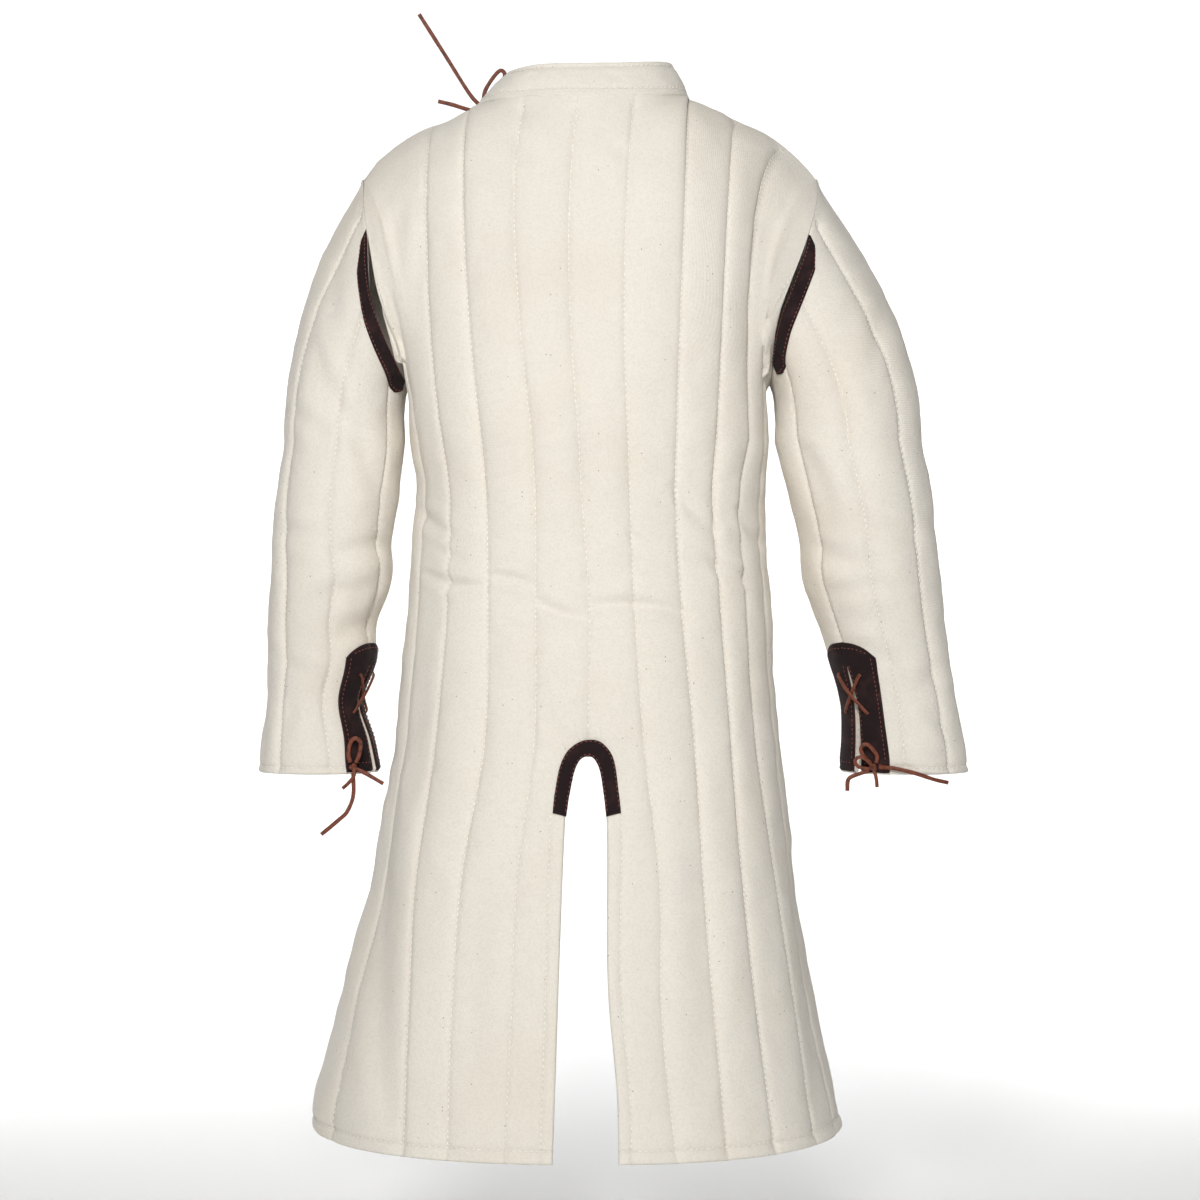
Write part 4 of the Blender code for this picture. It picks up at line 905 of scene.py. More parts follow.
# The leather arch over the vent is up here because the cloth lies flat under it
ventArch = {
    "outer": ((0.0357, -0.705), (0.0332, -0.683), (0.0288, -0.6607), (0.0215, -0.6450),
              (0.0100, -0.6358), (-0.0010, -0.6330), (-0.0120, -0.6355), (-0.0210, -0.6450),
              (-0.0258, -0.6577), (-0.0292, -0.683), (-0.0317, -0.705)),
    "inner": ((0.0222, -0.7085), (0.0190, -0.688), (0.0145, -0.6660), (0.0096, -0.6545),
              (0.0045, -0.6500), (0.0008, -0.6488), (-0.0028, -0.6500), (-0.0072, -0.6550),
              (-0.0112, -0.6655), (-0.0146, -0.688), (-0.0170, -0.7085)),
    "middle": (0.002, -0.675), "covers": (0.046, 0.052), "setIn": 0.0006, "sink": 0.0004, "columns": 66,
    "shares": (0, 0.04, 0.10, 0.20, 0.32, 0.50, 0.68, 0.80, 0.90, 0.96, 1.0),
}
backCreases = sized("x1 z1 x2 z2 bow width depth", (
    (0.172, -0.466, 0.106, -0.480, 0.006, 0.0052, 0.0050),
    (0.106, -0.471, 0.051, -0.483, -0.004, 0.0044, 0.0040),
    (0.055, -0.493, 0.002, -0.514, 0.004, 0.0050, 0.0046),
    (-0.003, -0.500, -0.098, -0.509, -0.005, 0.0052, 0.0050),
    (-0.086, -0.380, -0.130, -0.427, 0.004, 0.0056, 0.0044),
    (-0.152, -0.401, -0.179, -0.437, 0.003, 0.0048, 0.0038),
    (0.178, -0.398, 0.140, -0.428, 0.004, 0.0056, 0.0036),
    (-0.120, -0.452, -0.172, -0.476, 0.005, 0.0056, 0.0038),
    (0.160, -0.440, 0.128, -0.452, 0.003, 0.0040, 0.0026),
    (-0.040, -0.424, -0.066, -0.446, 0.003, 0.0044, 0.0024),
    (0.094, -0.516, 0.068, -0.526, -0.003, 0.0040, 0.0024),
    (0.042, -0.606, 0.020, -0.642, 0.002, 0.0060, 0.0030),
    (-0.007, -0.634, -0.047, -0.637, 0.003, 0.0060, 0.0030),
    (0.197, -0.090, 0.196, -0.178, 0.004, 0.0075, 0.0030),
    (0.172, -0.110, 0.178, -0.170, -0.003, 0.0070, 0.0018),
    (-0.190, -0.100, -0.182, -0.190, 0.004, 0.0080, 0.0022),
    (-0.010, -0.028, -0.042, -0.040, 0.002, 0.0065, 0.0016),
    (0.080, -0.020, 0.050, -0.062, -0.004, 0.0080, 0.0018),
    (0.204, -0.690, 0.199, -1.010, 0.010, 0.0130, 0.0062),
    (-0.212, -0.760, -0.232, -1.020, -0.006, 0.0120, 0.0040),
    (0.104, -0.760, 0.112, -1.010, 0.006, 0.0130, 0.0026),
    (-0.098, -0.700, -0.112, -0.960, -0.008, 0.0130, 0.0024),
    (-0.166, -0.560, -0.176, -0.720, 0.006, 0.0100, 0.0022),
    (0.170, -0.545, 0.182, -0.690, -0.005, 0.0100, 0.0022),
    (0.060, -0.210, 0.032, -0.262, 0.006, 0.0110, 0.0014),
    (-0.070, -0.150, -0.110, -0.214, 0.006, 0.0110, 0.0014),
))
frontCreases = sized("x1 z1 x2 z2 bow width depth", (
    (0.168, -0.452, 0.100, -0.470, 0.005, 0.0085, 0.0036),
    (0.088, -0.486, 0.030, -0.498, -0.004, 0.0075, 0.0030),
    (0.010, -0.470, -0.066, -0.484, 0.006, 0.0085, 0.0036),
    (-0.074, -0.502, -0.150, -0.488, -0.005, 0.0080, 0.0034),
    (-0.110, -0.420, -0.170, -0.446, 0.004, 0.0080, 0.0028),
    (0.150, -0.404, 0.178, -0.430, 0.003, 0.0070, 0.0026),
    (-0.192, -0.110, -0.186, -0.190, 0.004, 0.0080, 0.0026),
    (0.192, -0.105, 0.186, -0.182, -0.004, 0.0080, 0.0024),
    (0.034, -0.078, -0.020, -0.104, 0.006, 0.0080, 0.0020),
    (-0.084, -0.040, -0.104, -0.100, 0.004, 0.0080, 0.0020),
    (0.150, -0.700, 0.172, -1.000, 0.008, 0.0130, 0.0048),
    (-0.140, -0.690, -0.170, -1.010, -0.008, 0.0130, 0.0050),
    (-0.040, -0.740, -0.052, -1.000, 0.007, 0.0130, 0.0034),
    (0.060, -0.720, 0.052, -0.960, -0.006, 0.0120, 0.0030),
    (-0.206, -0.720, -0.228, -0.990, 0.005, 0.0110, 0.0036),
    (0.212, -0.700, 0.238, -1.005, -0.006, 0.0110, 0.0038),
))
sewing = {"pitch": 0.0058, "length": 0.0042, "width": 0.0013, "height": 0.0010, "lift": 0.0006}
leatherSewing = {"pitch": 0.0046, "length": 0.0032, "width": 0.0010, "height": 0.0009, "lift": 0.0006}


def ventDistances(panel, columns, vent):
    # The slit's own columns and first row, and how far its edges and its sewing are
    grid, across = panel["grid"], panel["across"]
    places = [column["vent"] for column in columns]
    panel["ventColumns"] = [
        next(c for c, place in enumerate(places) if place is not None and abs(place - wanted) < 1e-6)
        for wanted in (-2, -1, 1, 2)]
    outerLeft, left, right, outerRight = panel["ventColumns"]
    panel["ventRow"] = int(np.argmax(grid[:, left, 2] <= vent["top"]))
    below = slice(panel["ventRow"], None)
    aside = np.full(across.shape, 1.0)
    aside[below, :left + 1] = np.abs(across[below, left:left + 1] - across[below, :left + 1])
    aside[below, right:] = np.abs(across[below, right:] - across[below, right:right + 1])
    sewn = np.minimum(np.abs(across - across[:, outerLeft:outerLeft + 1]),
                      np.abs(across - across[:, outerRight:outerRight + 1]))
    return aside, np.where(grid[..., 2] < vent["sewnFrom"], sewn, 1.0)


def bodyWalls(panel, rimWays, relief, turnedIn, face):
    # The wall's inner way turns from the seam's rim to the cloth's own normal
    grid, normals, across, fromTop = (panel[key] for key in ("grid", "normals", "across", "fromTop"))
    outer = grid + normals * (relief - turnedIn)[..., None]
    side = np.array([1.0, 0, 0])
    fromSides = np.minimum(across, across[:, -1:] - across)
    toSide = np.where((across < across[:, -1:] / 2)[..., None], -side, side)
    share = fade(fromSides, 0.0, body["seamHelp"])[..., None]
    ways = unit(toSide * (1 - share) - normals * share)
    share = fade(fromTop, 0.0, body["rimHelp"])[..., None]
    ways = unit(rimWays[None] * (1 - share) + ways * share)
    thickness = body["seamRim"] + (body["wall"] - body["seamRim"]) * share
    inner = grid + ways * thickness - ways * (turnedIn * body["innerTurn"])[..., None]
    inner[..., 1] = face * np.maximum(face * inner[..., 1], body["leastFromSeam"])
    seamShift = np.array([0, face * body["seamGap"] / 2, 0])
    for c, toward in ((0, 1), (-1, -1)):
        outer[:, c] = grid[:, c] + relief[:, c, None] * side * toward * body["sideRelief"] + seamShift
        inner[:, c] = grid[:, c] + seamShift - side * toward * body["wall"]
    onShoulder = np.abs(grid[0, :, 1:2]) < 1e-6
    outer[0] = grid[0] + np.where(onShoulder, seamShift, 0)
    inner[0] = outer[0] + rimWays * body["seamRim"]
    return outer, inner


def bodyPanel(face):
    vent = vents[face]
    columns = columnsOf(backChannels if face > 0 else frontChannels, vent["line"])
    named = lineColumns(columns)
    grid, rimWays = bodyGrid(columns, face)
    across, fromTop = alongRows(grid), alongColumns(grid)
    fromHem = fromTop[-1] - fromTop
    panel = {"columns": columns, "named": named, "grid": grid, "normals": gridNormals(grid), "across": across,
             "fromTop": fromTop, "fromHem": fromHem}
    nearest, half = seamDistances(across, sorted(c for name, c in named.items() if name != "neck"))
    creases = creaseRelief(grid, backCreases if face > 0 else frontCreases)
    relief = quiltRelief(grid, nearest, half, fromTop, 0.0 if face > 0 else 40.0)
    relief += creases * fade(fromTop, 0, folds["rimFade"])
    hemStitch = np.abs(fromHem - quilt["hemStitch"])
    relief -= dent(hemStitch, quilt["hemGroove"], quilt["grooveWidth"])
    relief *= fade(fromHem, *quilt["hemFade"])
    aside, ventStitch = ventDistances(panel, columns, vent)
    edge = np.minimum(fromHem, aside)
    relief -= dent(ventStitch, quilt["hemGroove"], quilt["grooveWidth"])
    if face > 0:
        (x, z), (halfWidth, halfHeight) = ventArch["middle"], ventArch["covers"]
        covered = np.hypot((grid[..., 0] - x) / halfWidth, (grid[..., 2] - z) / halfHeight) < 1
        relief = np.where(covered, np.minimum(relief, -ventArch["setIn"]), relief)
    else:
        closure = named["closure"]
        edge = np.minimum(edge, np.abs(across - across[:, closure:closure + 1]))
    outer, inner = bodyWalls(panel, rimWays, relief, rounding(edge, quilt["edgeRadius"]), face)
    panel.update(outer=outer, inner=inner, cloth=np.stack([across, fromTop], axis=-1),
                 seam=np.minimum(np.minimum(nearest, hemStitch), ventStitch))
    return panel


def rowPath(panel, c, low, high):
    heights = panel["grid"][:, c, 2]
    rows = np.where((heights <= high) & (heights >= low))[0]
    return panel["outer"][rows, c], panel["normals"][rows, c]


def levelPath(panel, fromEdge, first, last):
    row = int(np.argmin(np.abs(panel["fromHem"][:, (first + last) // 2] - fromEdge)))
    return panel["outer"][row, first:last + 1], panel["normals"][row, first:last + 1]


def sewPanel(name, panel, lines, levels):
    bm = bmesh.new()
    for c, low, high in lines:
        path, outward = rowPath(panel, c, low, high)
        addStitches(bm, path, outward, sewing)
    for fromEdge, first, last in levels:
        path, outward = levelPath(panel, fromEdge, first, last)
        addStitches(bm, path, outward, sewing)
    return finishPiece(name, bm, "thread")


def ventLines(panel, vent):
    outerLeft, _, _, outerRight = panel["ventColumns"]
    return [(column, hemLine, vent["sewnFrom"]) for column in (outerLeft, outerRight)]


def ventLevels(panel, first, last):
    _, left, right, _ = panel["ventColumns"]
    return [(quilt["hemStitch"], first, left - 2), (quilt["hemStitch"], right + 2, last)]


def outsideVent(panel, first=0):
    _, left, right, _ = panel["ventColumns"]
    return lambda r, c: not (r >= panel["ventRow"] and left <= c + first < right)


backPanel = bodyPanel(1)
backPiece = makeWall("back_cloth", *(backPanel[key] for key in ("outer", "inner", "cloth", "seam")),
                     "canvas", "canvas", outsideVent(backPanel))
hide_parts("back")
hemLine = body["hem"] + body["sewnFromHem"]
lines = [(backPanel["named"][str(line)], hemLine, body["sewnTo"]) for line in range(10) if line != 4]
lines.append((backPanel["named"]["4"], -0.627, body["sewnTo"]))
backLast = len(backPanel["columns"]) - 1
backSewing = sewPanel("back_sewing", backPanel, lines + ventLines(backPanel, vents[1]),
                      ventLevels(backPanel, 2, backLast - 2))
print("back made")

frontPanel = bodyPanel(-1)
frontNamed = frontPanel["named"]
closure = frontNamed["closure"]
frontLast = len(frontPanel["columns"]) - 1
frontParts = {"front_left": (0, closure, -1, -2), "front_right": (closure, frontLast, 0, 1)}
for name, (first, last, edge, toward) in frontParts.items():
    part = slice(first, last + 1)
    outer, inner, cloth, seam = (frontPanel[key][:, part].copy()
                                 for key in ("outer", "inner", "cloth", "seam"))
    way = unit(outer[:, toward] - outer[:, edge]) * body["seamGap"] / 2
    outer[:, edge] += way
    inner[:, edge] += way
    makeWall(f"{name}_cloth", outer, inner, cloth, seam, "canvas", "canvas",
                                 outsideVent(frontPanel, first) if first else None)
    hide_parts(name)
lines = [(frontNamed[line], hemLine, body["sewnTo"]) for line in ("f0", "f1")] + [(closure - 3, hemLine, 0.0)]
frontLeftSewing = sewPanel("front_left_sewing", frontPanel, lines, [(quilt["hemStitch"], 2, closure - 2)])
lines = [(frontNamed[f"f{line}"], hemLine, body["sewnTo"]) for line in range(3, 10) if line != 4]
lines += [(frontNamed["f4"], -0.640, body["sewnTo"]), (closure + 4, hemLine, 0.0)]
frontRightSewing = sewPanel("front_right_sewing", frontPanel, lines + ventLines(frontPanel, vents[-1]),
                            ventLevels(frontPanel, closure + 2, frontLast - 2))
print("fronts made")


# Collar

collarSizes = {"height": 0.037, "backLean": 0.014, "frontLean": 0.010, "leftLean": 0.034, "rightLean": 0.019,
               "topStitch": 0.0060, "baseStitch": 0.0080, "topGroove": 0.0014, "baseGroove": 0.0009,
               "grooveWidth": 0.0022, "bulge": 0.0011, "small": 0.0009, "broad": 0.0010, "baseFade": 0.006,
               "behind": (-0.2, 0.2), "innerTurn": 0.95, "rimHelp": 0.012, "edgeSpan": 0.01,
               "steps": 16, "stretch": 59, "leastSteps": 6,
               "rows": (*np.linspace(0, 0.80, 13), 0.835, 0.87, 0.905, 0.935, 0.96, 0.98, 0.993, 1.0)}
collarStops = (((72.0, 90.0), -1), ((90.0, 31.0, 1.5, -29.0, -90.0), 1),
               ((-90.0, -40.0, 0.0, 38.0, 72.0), -1))
collarCreases = sized("x1 z1 x2 z2 bow width depth", (
    (-0.016, 0.050, -0.032, 0.036, 0.001, 0.0034, 0.0011),
    (0.048, 0.052, 0.060, 0.040, 0.001, 0.0040, 0.0009),
    (0.092, 0.044, 0.078, 0.034, -0.001, 0.0045, 0.0010),
    (-0.078, 0.052, -0.086, 0.042, 0.001, 0.0040, 0.0009),
))


def collarStations():
    stations = []
    for stops, face in collarStops:
        for first, last in zip(stops, stops[1:]):
            count = int(abs(last - first) / collarSizes["stretch"] * collarSizes["steps"])
            count = max(collarSizes["leastSteps"], count)
            stations += [(first + (last - first) * i / count, face) for i in range(count)]
    return stations + [(72.0, -1)]


def makeCollar():
    stations = collarStations()
    base = np.stack([neckPoint(degrees, face) for degrees, face in stations])
    inward = unit(np.stack([neck["centre"] - base[:, 0], -base[:, 1], np.zeros(len(base))], axis=-1))
    sideways = np.sin(np.radians([degrees for degrees, _ in stations]))
    leans = {1: collarSizes["backLean"], -1: collarSizes["frontLean"]}
    lean = np.array([leans[face] for _, face in stations])
    sideLean = np.where(sideways > 0, collarSizes["leftLean"], collarSizes["rightLean"])
    lean = lean + (sideLean - lean) * sideways ** 2
    top = base + inward * lean[:, None] + np.array([0, 0, collarSizes["height"]])
    shares = np.array(collarSizes["rows"][::-1])
    grid = base[None] + (top - base)[None] * shares[:, None, None]
    normals = gridNormals(grid)
    outwards = np.sum(normals[:, :, :2] * inward[None, :, :2]) > 0
    normals = -normals if outwards else normals
    across, fromTop = alongRows(grid), alongColumns(grid)
    fromBase = fromTop[-1] - fromTop
    topStitch = np.abs(fromTop - collarSizes["topStitch"])
    baseStitch = np.abs(fromBase - collarSizes["baseStitch"])
    relief = collarSizes["bulge"] * np.sin(math.pi * np.clip(fromBase / fromTop[-1], 0, 1))
    relief += collarSizes["small"] * noiseField(grid, (30, 30, 60), 71.0)
    relief += collarSizes["broad"] * noiseField(grid, (9, 9, 9), 75.0)
    relief -= dent(topStitch, collarSizes["topGroove"], collarSizes["grooveWidth"])
    relief -= dent(baseStitch, collarSizes["baseGroove"], collarSizes["grooveWidth"])
    relief += creaseRelief(grid, collarCreases) * fade(normals[..., 1], *collarSizes["behind"])
    relief *= fade(fromBase, 0, collarSizes["baseFade"])
    edge = np.minimum(fromTop, np.minimum(across, across[:, -1:] - across))
    turnedIn = rounding(edge, quilt["edgeRadius"])
    outer = grid + normals * (relief - turnedIn)[..., None]
    inner = grid - normals * (body["seamRim"] - turnedIn * collarSizes["innerTurn"])[..., None]
    rimWays = np.stack([neckInward(point) for point in base])
    low = fade(fromBase, 0.0, collarSizes["rimHelp"])[..., None]
    rim = grid + rimWays[None] * body["seamRim"]
    inner = rim * (1 - low) + inner * low
    outer[-1] = base + np.array([0, 0, body["seamGap"]])
    inner[-1] = outer[-1] + rimWays * body["seamRim"]
    gaps = np.full(len(grid), body["seamGap"] / 2)
    outer, inner = (shiftedBothEdges(wall, across, gaps, gaps, collarSizes["edgeSpan"])
                    for wall in (outer, inner))
    cloth = np.stack([fromTop, across], axis=-1)
    seam = np.minimum(topStitch, baseStitch)
    piece = makeWall("collar_cloth", outer, inner, cloth, seam, "canvas", "canvas")
    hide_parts("collar")
    bm = bmesh.new()
    for stitch in (topStitch, baseStitch):
        row = int(np.argmin(stitch[:, len(base) // 2]))
        addStitches(bm, outer[row, 2:-2], normals[row, 2:-2], sewing)
    sewn = finishPiece("collar_sewing", bm, "thread")
    return piece, sewn, {"outer": outer, "across": across, "fromTop": fromTop}


def shiftedEdge(wall, away, widths, span):
    # Cloth beside an edge moves away from it, less and less farther in. away rises along each row
    result = wall.copy()
    for r, width in enumerate(widths):
        spots = np.where(away[r] < span, width + away[r] * (1 - width / span), away[r])
        for axis in range(3):
            result[r, :, axis] = np.interp(spots, away[r], wall[r, :, axis])
    return result


def shiftedBothEdges(wall, across, firstWidths, lastWidths, span):
    wall = shiftedEdge(wall, across - across[:, :1], firstWidths, span)
    away = (across[:, -1:] - across)[:, ::-1]
    return shiftedEdge(wall[:, ::-1], away, lastWidths, span)[:, ::-1]


# Sleeves

sleeveSizes = {"wall": 0.0065, "chest": -0.330, "cuff": -0.676, "slitTop": -0.562, "slitWidth": 0.010,
               "handle": 0.36, "outAtShoulder": 0.58, "outAtUnderarm": 0.04, "depthWay": 0.16,
               "downWay": -0.81, "upperRows": 42, "rowStep": 0.0054, "channelColumns": 15,
               "hemStitch": 0.0080, "grooveShare": 0.8, "grooveWidth": 0.0022, "hemFade": (-0.010, 0.008),
               "edgeRadius": 0.0028, "innerTurn": 0.9, "openFrom": 0.0015, "seen": (-0.05, 0.35),
               "underLeather": 0.0008, "leatherReach": (1.9, 2.4), "leatherTop": (-0.556, -0.536),
               "rimHelp": 0.024, "slitSpan": 0.020, "sewnAbove": 0.009, "seamSewnTo": -0.538,
               "sewnBelow": 0.002, "sewnBelowOpening": 0.020, "besideCuff": 2.05,
               "nearSteps": (0.0, 0.0022, 0.0045, 0.0070, 0.0098, 0.0126, 0.0153, 0.0180, 0.0210, 0.0245)}
sleeves = {
    "left": {
        "side": 1, "columns": 20, "firstAngle": -1.0, "backSeam": 8, "frontSeam": 17,
        "lines": (0, 2, 5, 8, 11, 14, 17), "opening": (3.0, 5.2, 9.7), "openingWidth": 0.014,
        "facing": (3.0, 9.0), "crossLift": 0.0044,
        "sections": sized("height centre halfWidth middle halfDepth twist", (
            (-0.330, 0.2563, 0.0637, 0.000, 0.072, 0.0),
            (-0.390, 0.2636, 0.0645, 0.000, 0.070, 0.0),
            (-0.432, 0.2700, 0.0625, -0.003, 0.068, 6.0),
            (-0.474, 0.2725, 0.0640, -0.006, 0.066, 12.0),
            (-0.516, 0.2819, 0.0577, -0.012, 0.061, 16.0),
            (-0.558, 0.2830, 0.0575, -0.017, 0.057, 18.0),
            (-0.600, 0.2908, 0.0508, -0.021, 0.052, 18.0),
            (-0.642, 0.2882, 0.0597, -0.024, 0.056, 18.0),
            (-0.676, 0.2865, 0.0650, -0.026, 0.059, 18.0),
        )),
    },
    "right": {
        "side": -1, "columns": 24, "firstAngle": 6.0, "backSeam": 9, "frontSeam": 21,
        "lines": (0, 3, 6, 9, 12, 15, 18, 21), "opening": (3.4, 7.0, 10.6), "openingWidth": 0.004,
        "facing": (4.0, 10.0), "crossLift": 0.0040,
        "sections": sized("height centre halfWidth middle halfDepth twist", (
            (-0.330, 0.2710, 0.0783, 0.000, 0.080, 0.0),
            (-0.390, 0.2845, 0.0760, 0.000, 0.077, 0.0),
            (-0.432, 0.2919, 0.0730, -0.003, 0.074, 0.0),
            (-0.474, 0.2960, 0.0739, -0.006, 0.072, 0.0),
            (-0.516, 0.3055, 0.0686, -0.012, 0.068, 0.0),
            (-0.558, 0.3160, 0.0645, -0.017, 0.065, 0.0),
            (-0.600, 0.3254, 0.0624, -0.021, 0.062, 0.0),
            (-0.642, 0.3312, 0.0660, -0.024, 0.063, 0.0),
            (-0.676, 0.3330, 0.0690, -0.026, 0.064, 0.0),
        )),
    },
}
sleeveHeights = list(np.arange(sleeveSizes["chest"], sleeveSizes["cuff"] + 0.0200, -sleeveSizes["rowStep"]))
sleeveHeights += [sleeveSizes["cuff"] + step for step in hemSteps[2:]]
sleeveCreases = {
    ("left", 1): sized("x1 z1 x2 z2 bow width depth", (
        (0.262, -0.268, 0.243, -0.322, 0.004, 0.0080, 0.0030),
        (0.280, -0.233, 0.273, -0.338, -0.005, 0.0090, 0.0034),
        (0.236, -0.300, 0.214, -0.392, 0.004, 0.0080, 0.0030),
        (0.300, -0.300, 0.268, -0.330, 0.003, 0.0075, 0.0024),
        (0.204, -0.438, 0.262, -0.452, 0.005, 0.0080, 0.0036),
        (0.214, -0.470, 0.286, -0.492, -0.006, 0.0085, 0.0030),
        (0.318, -0.420, 0.270, -0.428, 0.004, 0.0080, 0.0022),
        (0.224, -0.520, 0.268, -0.545, 0.004, 0.0080, 0.0028),
        (0.322, -0.560, 0.286, -0.575, -0.004, 0.0080, 0.0022),
        (0.256, -0.120, 0.262, -0.205, 0.004, 0.0090, 0.0022),
        (0.322, -0.630, 0.306, -0.600, 0.004, 0.0070, 0.0020),
    )),
    ("right", 1): sized("x1 z1 x2 z2 bow width depth", (
        (-0.246, -0.250, -0.262, -0.330, -0.004, 0.0085, 0.0028),
        (-0.214, -0.330, -0.246, -0.420, -0.005, 0.0085, 0.0028),
        (-0.232, -0.440, -0.300, -0.462, 0.006, 0.0085, 0.0034),
        (-0.246, -0.490, -0.318, -0.482, -0.006, 0.0080, 0.0028),
        (-0.344, -0.440, -0.300, -0.420, 0.004, 0.0080, 0.0022),
        (-0.262, -0.540, -0.320, -0.556, 0.005, 0.0080, 0.0028),
        (-0.366, -0.560, -0.330, -0.590, -0.004, 0.0080, 0.0024),
        (-0.310, -0.180, -0.290, -0.260, 0.004, 0.0090, 0.0022),
        (-0.380, -0.640, -0.352, -0.612, 0.003, 0.0070, 0.0020),
    )),
    ("left", -1): sized("x1 z1 x2 z2 bow width depth", (
        (0.250, -0.150, 0.236, -0.240, 0.004, 0.0085, 0.0028),
        (0.222, -0.400, 0.290, -0.430, -0.006, 0.0085, 0.0036),
        (0.236, -0.452, 0.304, -0.462, 0.005, 0.0085, 0.0034),
        (0.310, -0.490, 0.256, -0.506, -0.004, 0.0080, 0.0028),
        (0.246, -0.560, 0.290, -0.586, 0.004, 0.0080, 0.0026),
    )),
    ("right", -1): sized("x1 z1 x2 z2 bow width depth", (
        (-0.262, -0.160, -0.244, -0.250, 0.004, 0.0085, 0.0028),
        (-0.240, -0.410, -0.320, -0.440, 0.006, 0.0085, 0.0036),
        (-0.262, -0.470, -0.334, -0.466, -0.005, 0.0085, 0.0032),
        (-0.290, -0.520, -0.350, -0.540, 0.005, 0.0080, 0.0028),
        (-0.300, -0.600, -0.350, -0.618, 0.004, 0.0080, 0.0024),
    )),
}


def sleevePoints(sleeve, params, height, lift=0.0):
    sections = sleeve["sections"]
    angles = np.radians(sleeve["firstAngle"] + 360.0 / sleeve["columns"] * np.asarray(params, float)
                        + smooth(sections, height, "twist"))
    wide, deep = (smooth(sections, height, key) + lift for key in ("halfWidth", "halfDepth"))
    across = smooth(sections, height, "centre") + wide * np.cos(angles)
    depth = smooth(sections, height, "middle") + deep * np.sin(angles)
    return np.stack([sleeve["side"] * across, depth, np.full(len(angles), height)], axis=-1)


def setBack(sleeve, place):
    first, widest, last = sleeve["opening"]
    if not first < place < last:
        return 0.0
    share = (place - first) / (widest - first) if place < widest else (last - place) / (last - widest)
    return sleeve["openingWidth"] * math.sin(share * math.pi / 2)


def sleeveTop(sleeve, param):
    side, half = sleeve["side"], sleeve["columns"] // 2
    place = param % sleeve["columns"]
    face = 1 if place <= half else -1
    share = place / half if face > 0 else (2 * half - place) / half
    seam = armholePoint(side, face, share)
    start = seam + np.array([side * body["seamGap"], 0, 0])
    end = sleevePoints(sleeve, [place], sleeveSizes["chest"])[0]
    reach = np.linalg.norm(end - start)
    atShoulder, atUnderarm = sleeveSizes["outAtShoulder"], sleeveSizes["outAtUnderarm"]
    outward = atShoulder + (atUnderarm - atShoulder) * share ** 0.8
    depthWay = face * sleeveSizes["depthWay"] * math.sin(math.pi * share)
    way = leaning(np.array([side * outward, depthWay, sleeveSizes["downWay"]]), side, face, share)
    up = np.array([0, 0, reach * sleeveSizes["handle"]])
    path = bezier(start, start + way * reach * sleeveSizes["handle"], end + up, end, np.linspace(0, 1, 60))
    edge = setBack(sleeve, place)
    near = edge + np.array(sleeveSizes["nearSteps"])
    rest = np.linspace(near[-1], lengthsOf(path)[-1], sleeveSizes["upperRows"] - len(near) + 2)[1:-1]
    return atLengths(path, np.concatenate([near, rest])), armholeInward(seam), edge


def sleeveRing(name):
    sleeve = sleeves[name]
    count, start = sleeve["columns"], sleeve["frontSeam"]
    lines = sorted({line + count * turn for line in sleeve["lines"] for turn in (0, 1)
                    if start <= line + count * turn <= start + count} | {start + count})
    params = [float(start)]
    lineColumnsHere = [0]
    shares = channelShares(sleeveSizes["channelColumns"])[1:]
    for first, last in zip(lines, lines[1:]):
        params += [first + (last - first) * share for share in shares]
        lineColumnsHere.append(len(params) - 1)
    params = np.array(params)
    tops, rimWays, edges = zip(*(sleeveTop(sleeve, param) for param in params))
    lower = np.stack([sleevePoints(sleeve, params, height) for height in sleeveHeights])
    grid = np.concatenate([np.stack(tops, axis=1), lower])
    normals = gridNormals(grid[:, :-1], closed=True)
    normals = np.concatenate([normals, normals[:, :1]], axis=1)
    across, fromTop = alongRows(grid), alongColumns(grid)
    fromHem = fromTop[-1] - fromTop
    nearest, half = seamDistances(across, lineColumnsHere)
    relief = quiltRelief(grid, nearest, half, fromTop, 90.0 if name == "left" else 130.0)
    for face in (1, -1):
        seen = fade(normals[..., 1] * face, *sleeveSizes["seen"])
        creases = creaseRelief(grid, sleeveCreases[name, face])
        relief += creases * seen * fade(fromTop, 0, folds["rimFade"])
    hemStitch = np.abs(fromHem - sleeveSizes["hemStitch"])
    relief -= dent(hemStitch, quilt["hemGroove"] * sleeveSizes["grooveShare"], sleeveSizes["grooveWidth"])
    relief *= fade(fromHem, *sleeveSizes["hemFade"])
    # Under the leather the cloth lies flat
    aside = np.abs(params - (sleeve["backSeam"] + count))
    leather = 1 - fade(aside, *sleeveSizes["leatherReach"])[None]
    leather = leather * (1 - fade(grid[..., 2], *sleeveSizes["leatherTop"]))
    relief = relief * (1 - leather) - sleeveSizes["underLeather"] * leather
    opened = fade(np.array(edges), 0.0, sleeveSizes["openFrom"])[None]
    edge = np.minimum(fromHem, np.where(opened > 0.5, fromTop, 1.0))
    turnedIn = rounding(edge, sleeveSizes["edgeRadius"])
    outer = grid + normals * (relief - turnedIn)[..., None]
    attached = 1 - opened
    share = 1 - (1 - fade(fromTop, 0.0, sleeveSizes["rimHelp"])) * attached
    ways = unit(np.stack(rimWays)[None] * (1 - share[..., None]) - normals * share[..., None])
    inner = grid + ways * (sleeveSizes["wall"] - turnedIn * sleeveSizes["innerTurn"])[..., None]
    outer[0] = np.where(attached.T > 0.5, grid[0], outer[0])
    cloth = np.stack([across, fromTop], axis=-1)
    return {"params": params, "lines": lineColumnsHere, "grid": grid, "normals": normals, "outer": outer,
            "inner": inner, "across": across, "fromTop": fromTop, "fromHem": fromHem, "cloth": cloth,
            "seam": np.minimum(nearest, hemStitch), "edges": np.array(edges)}


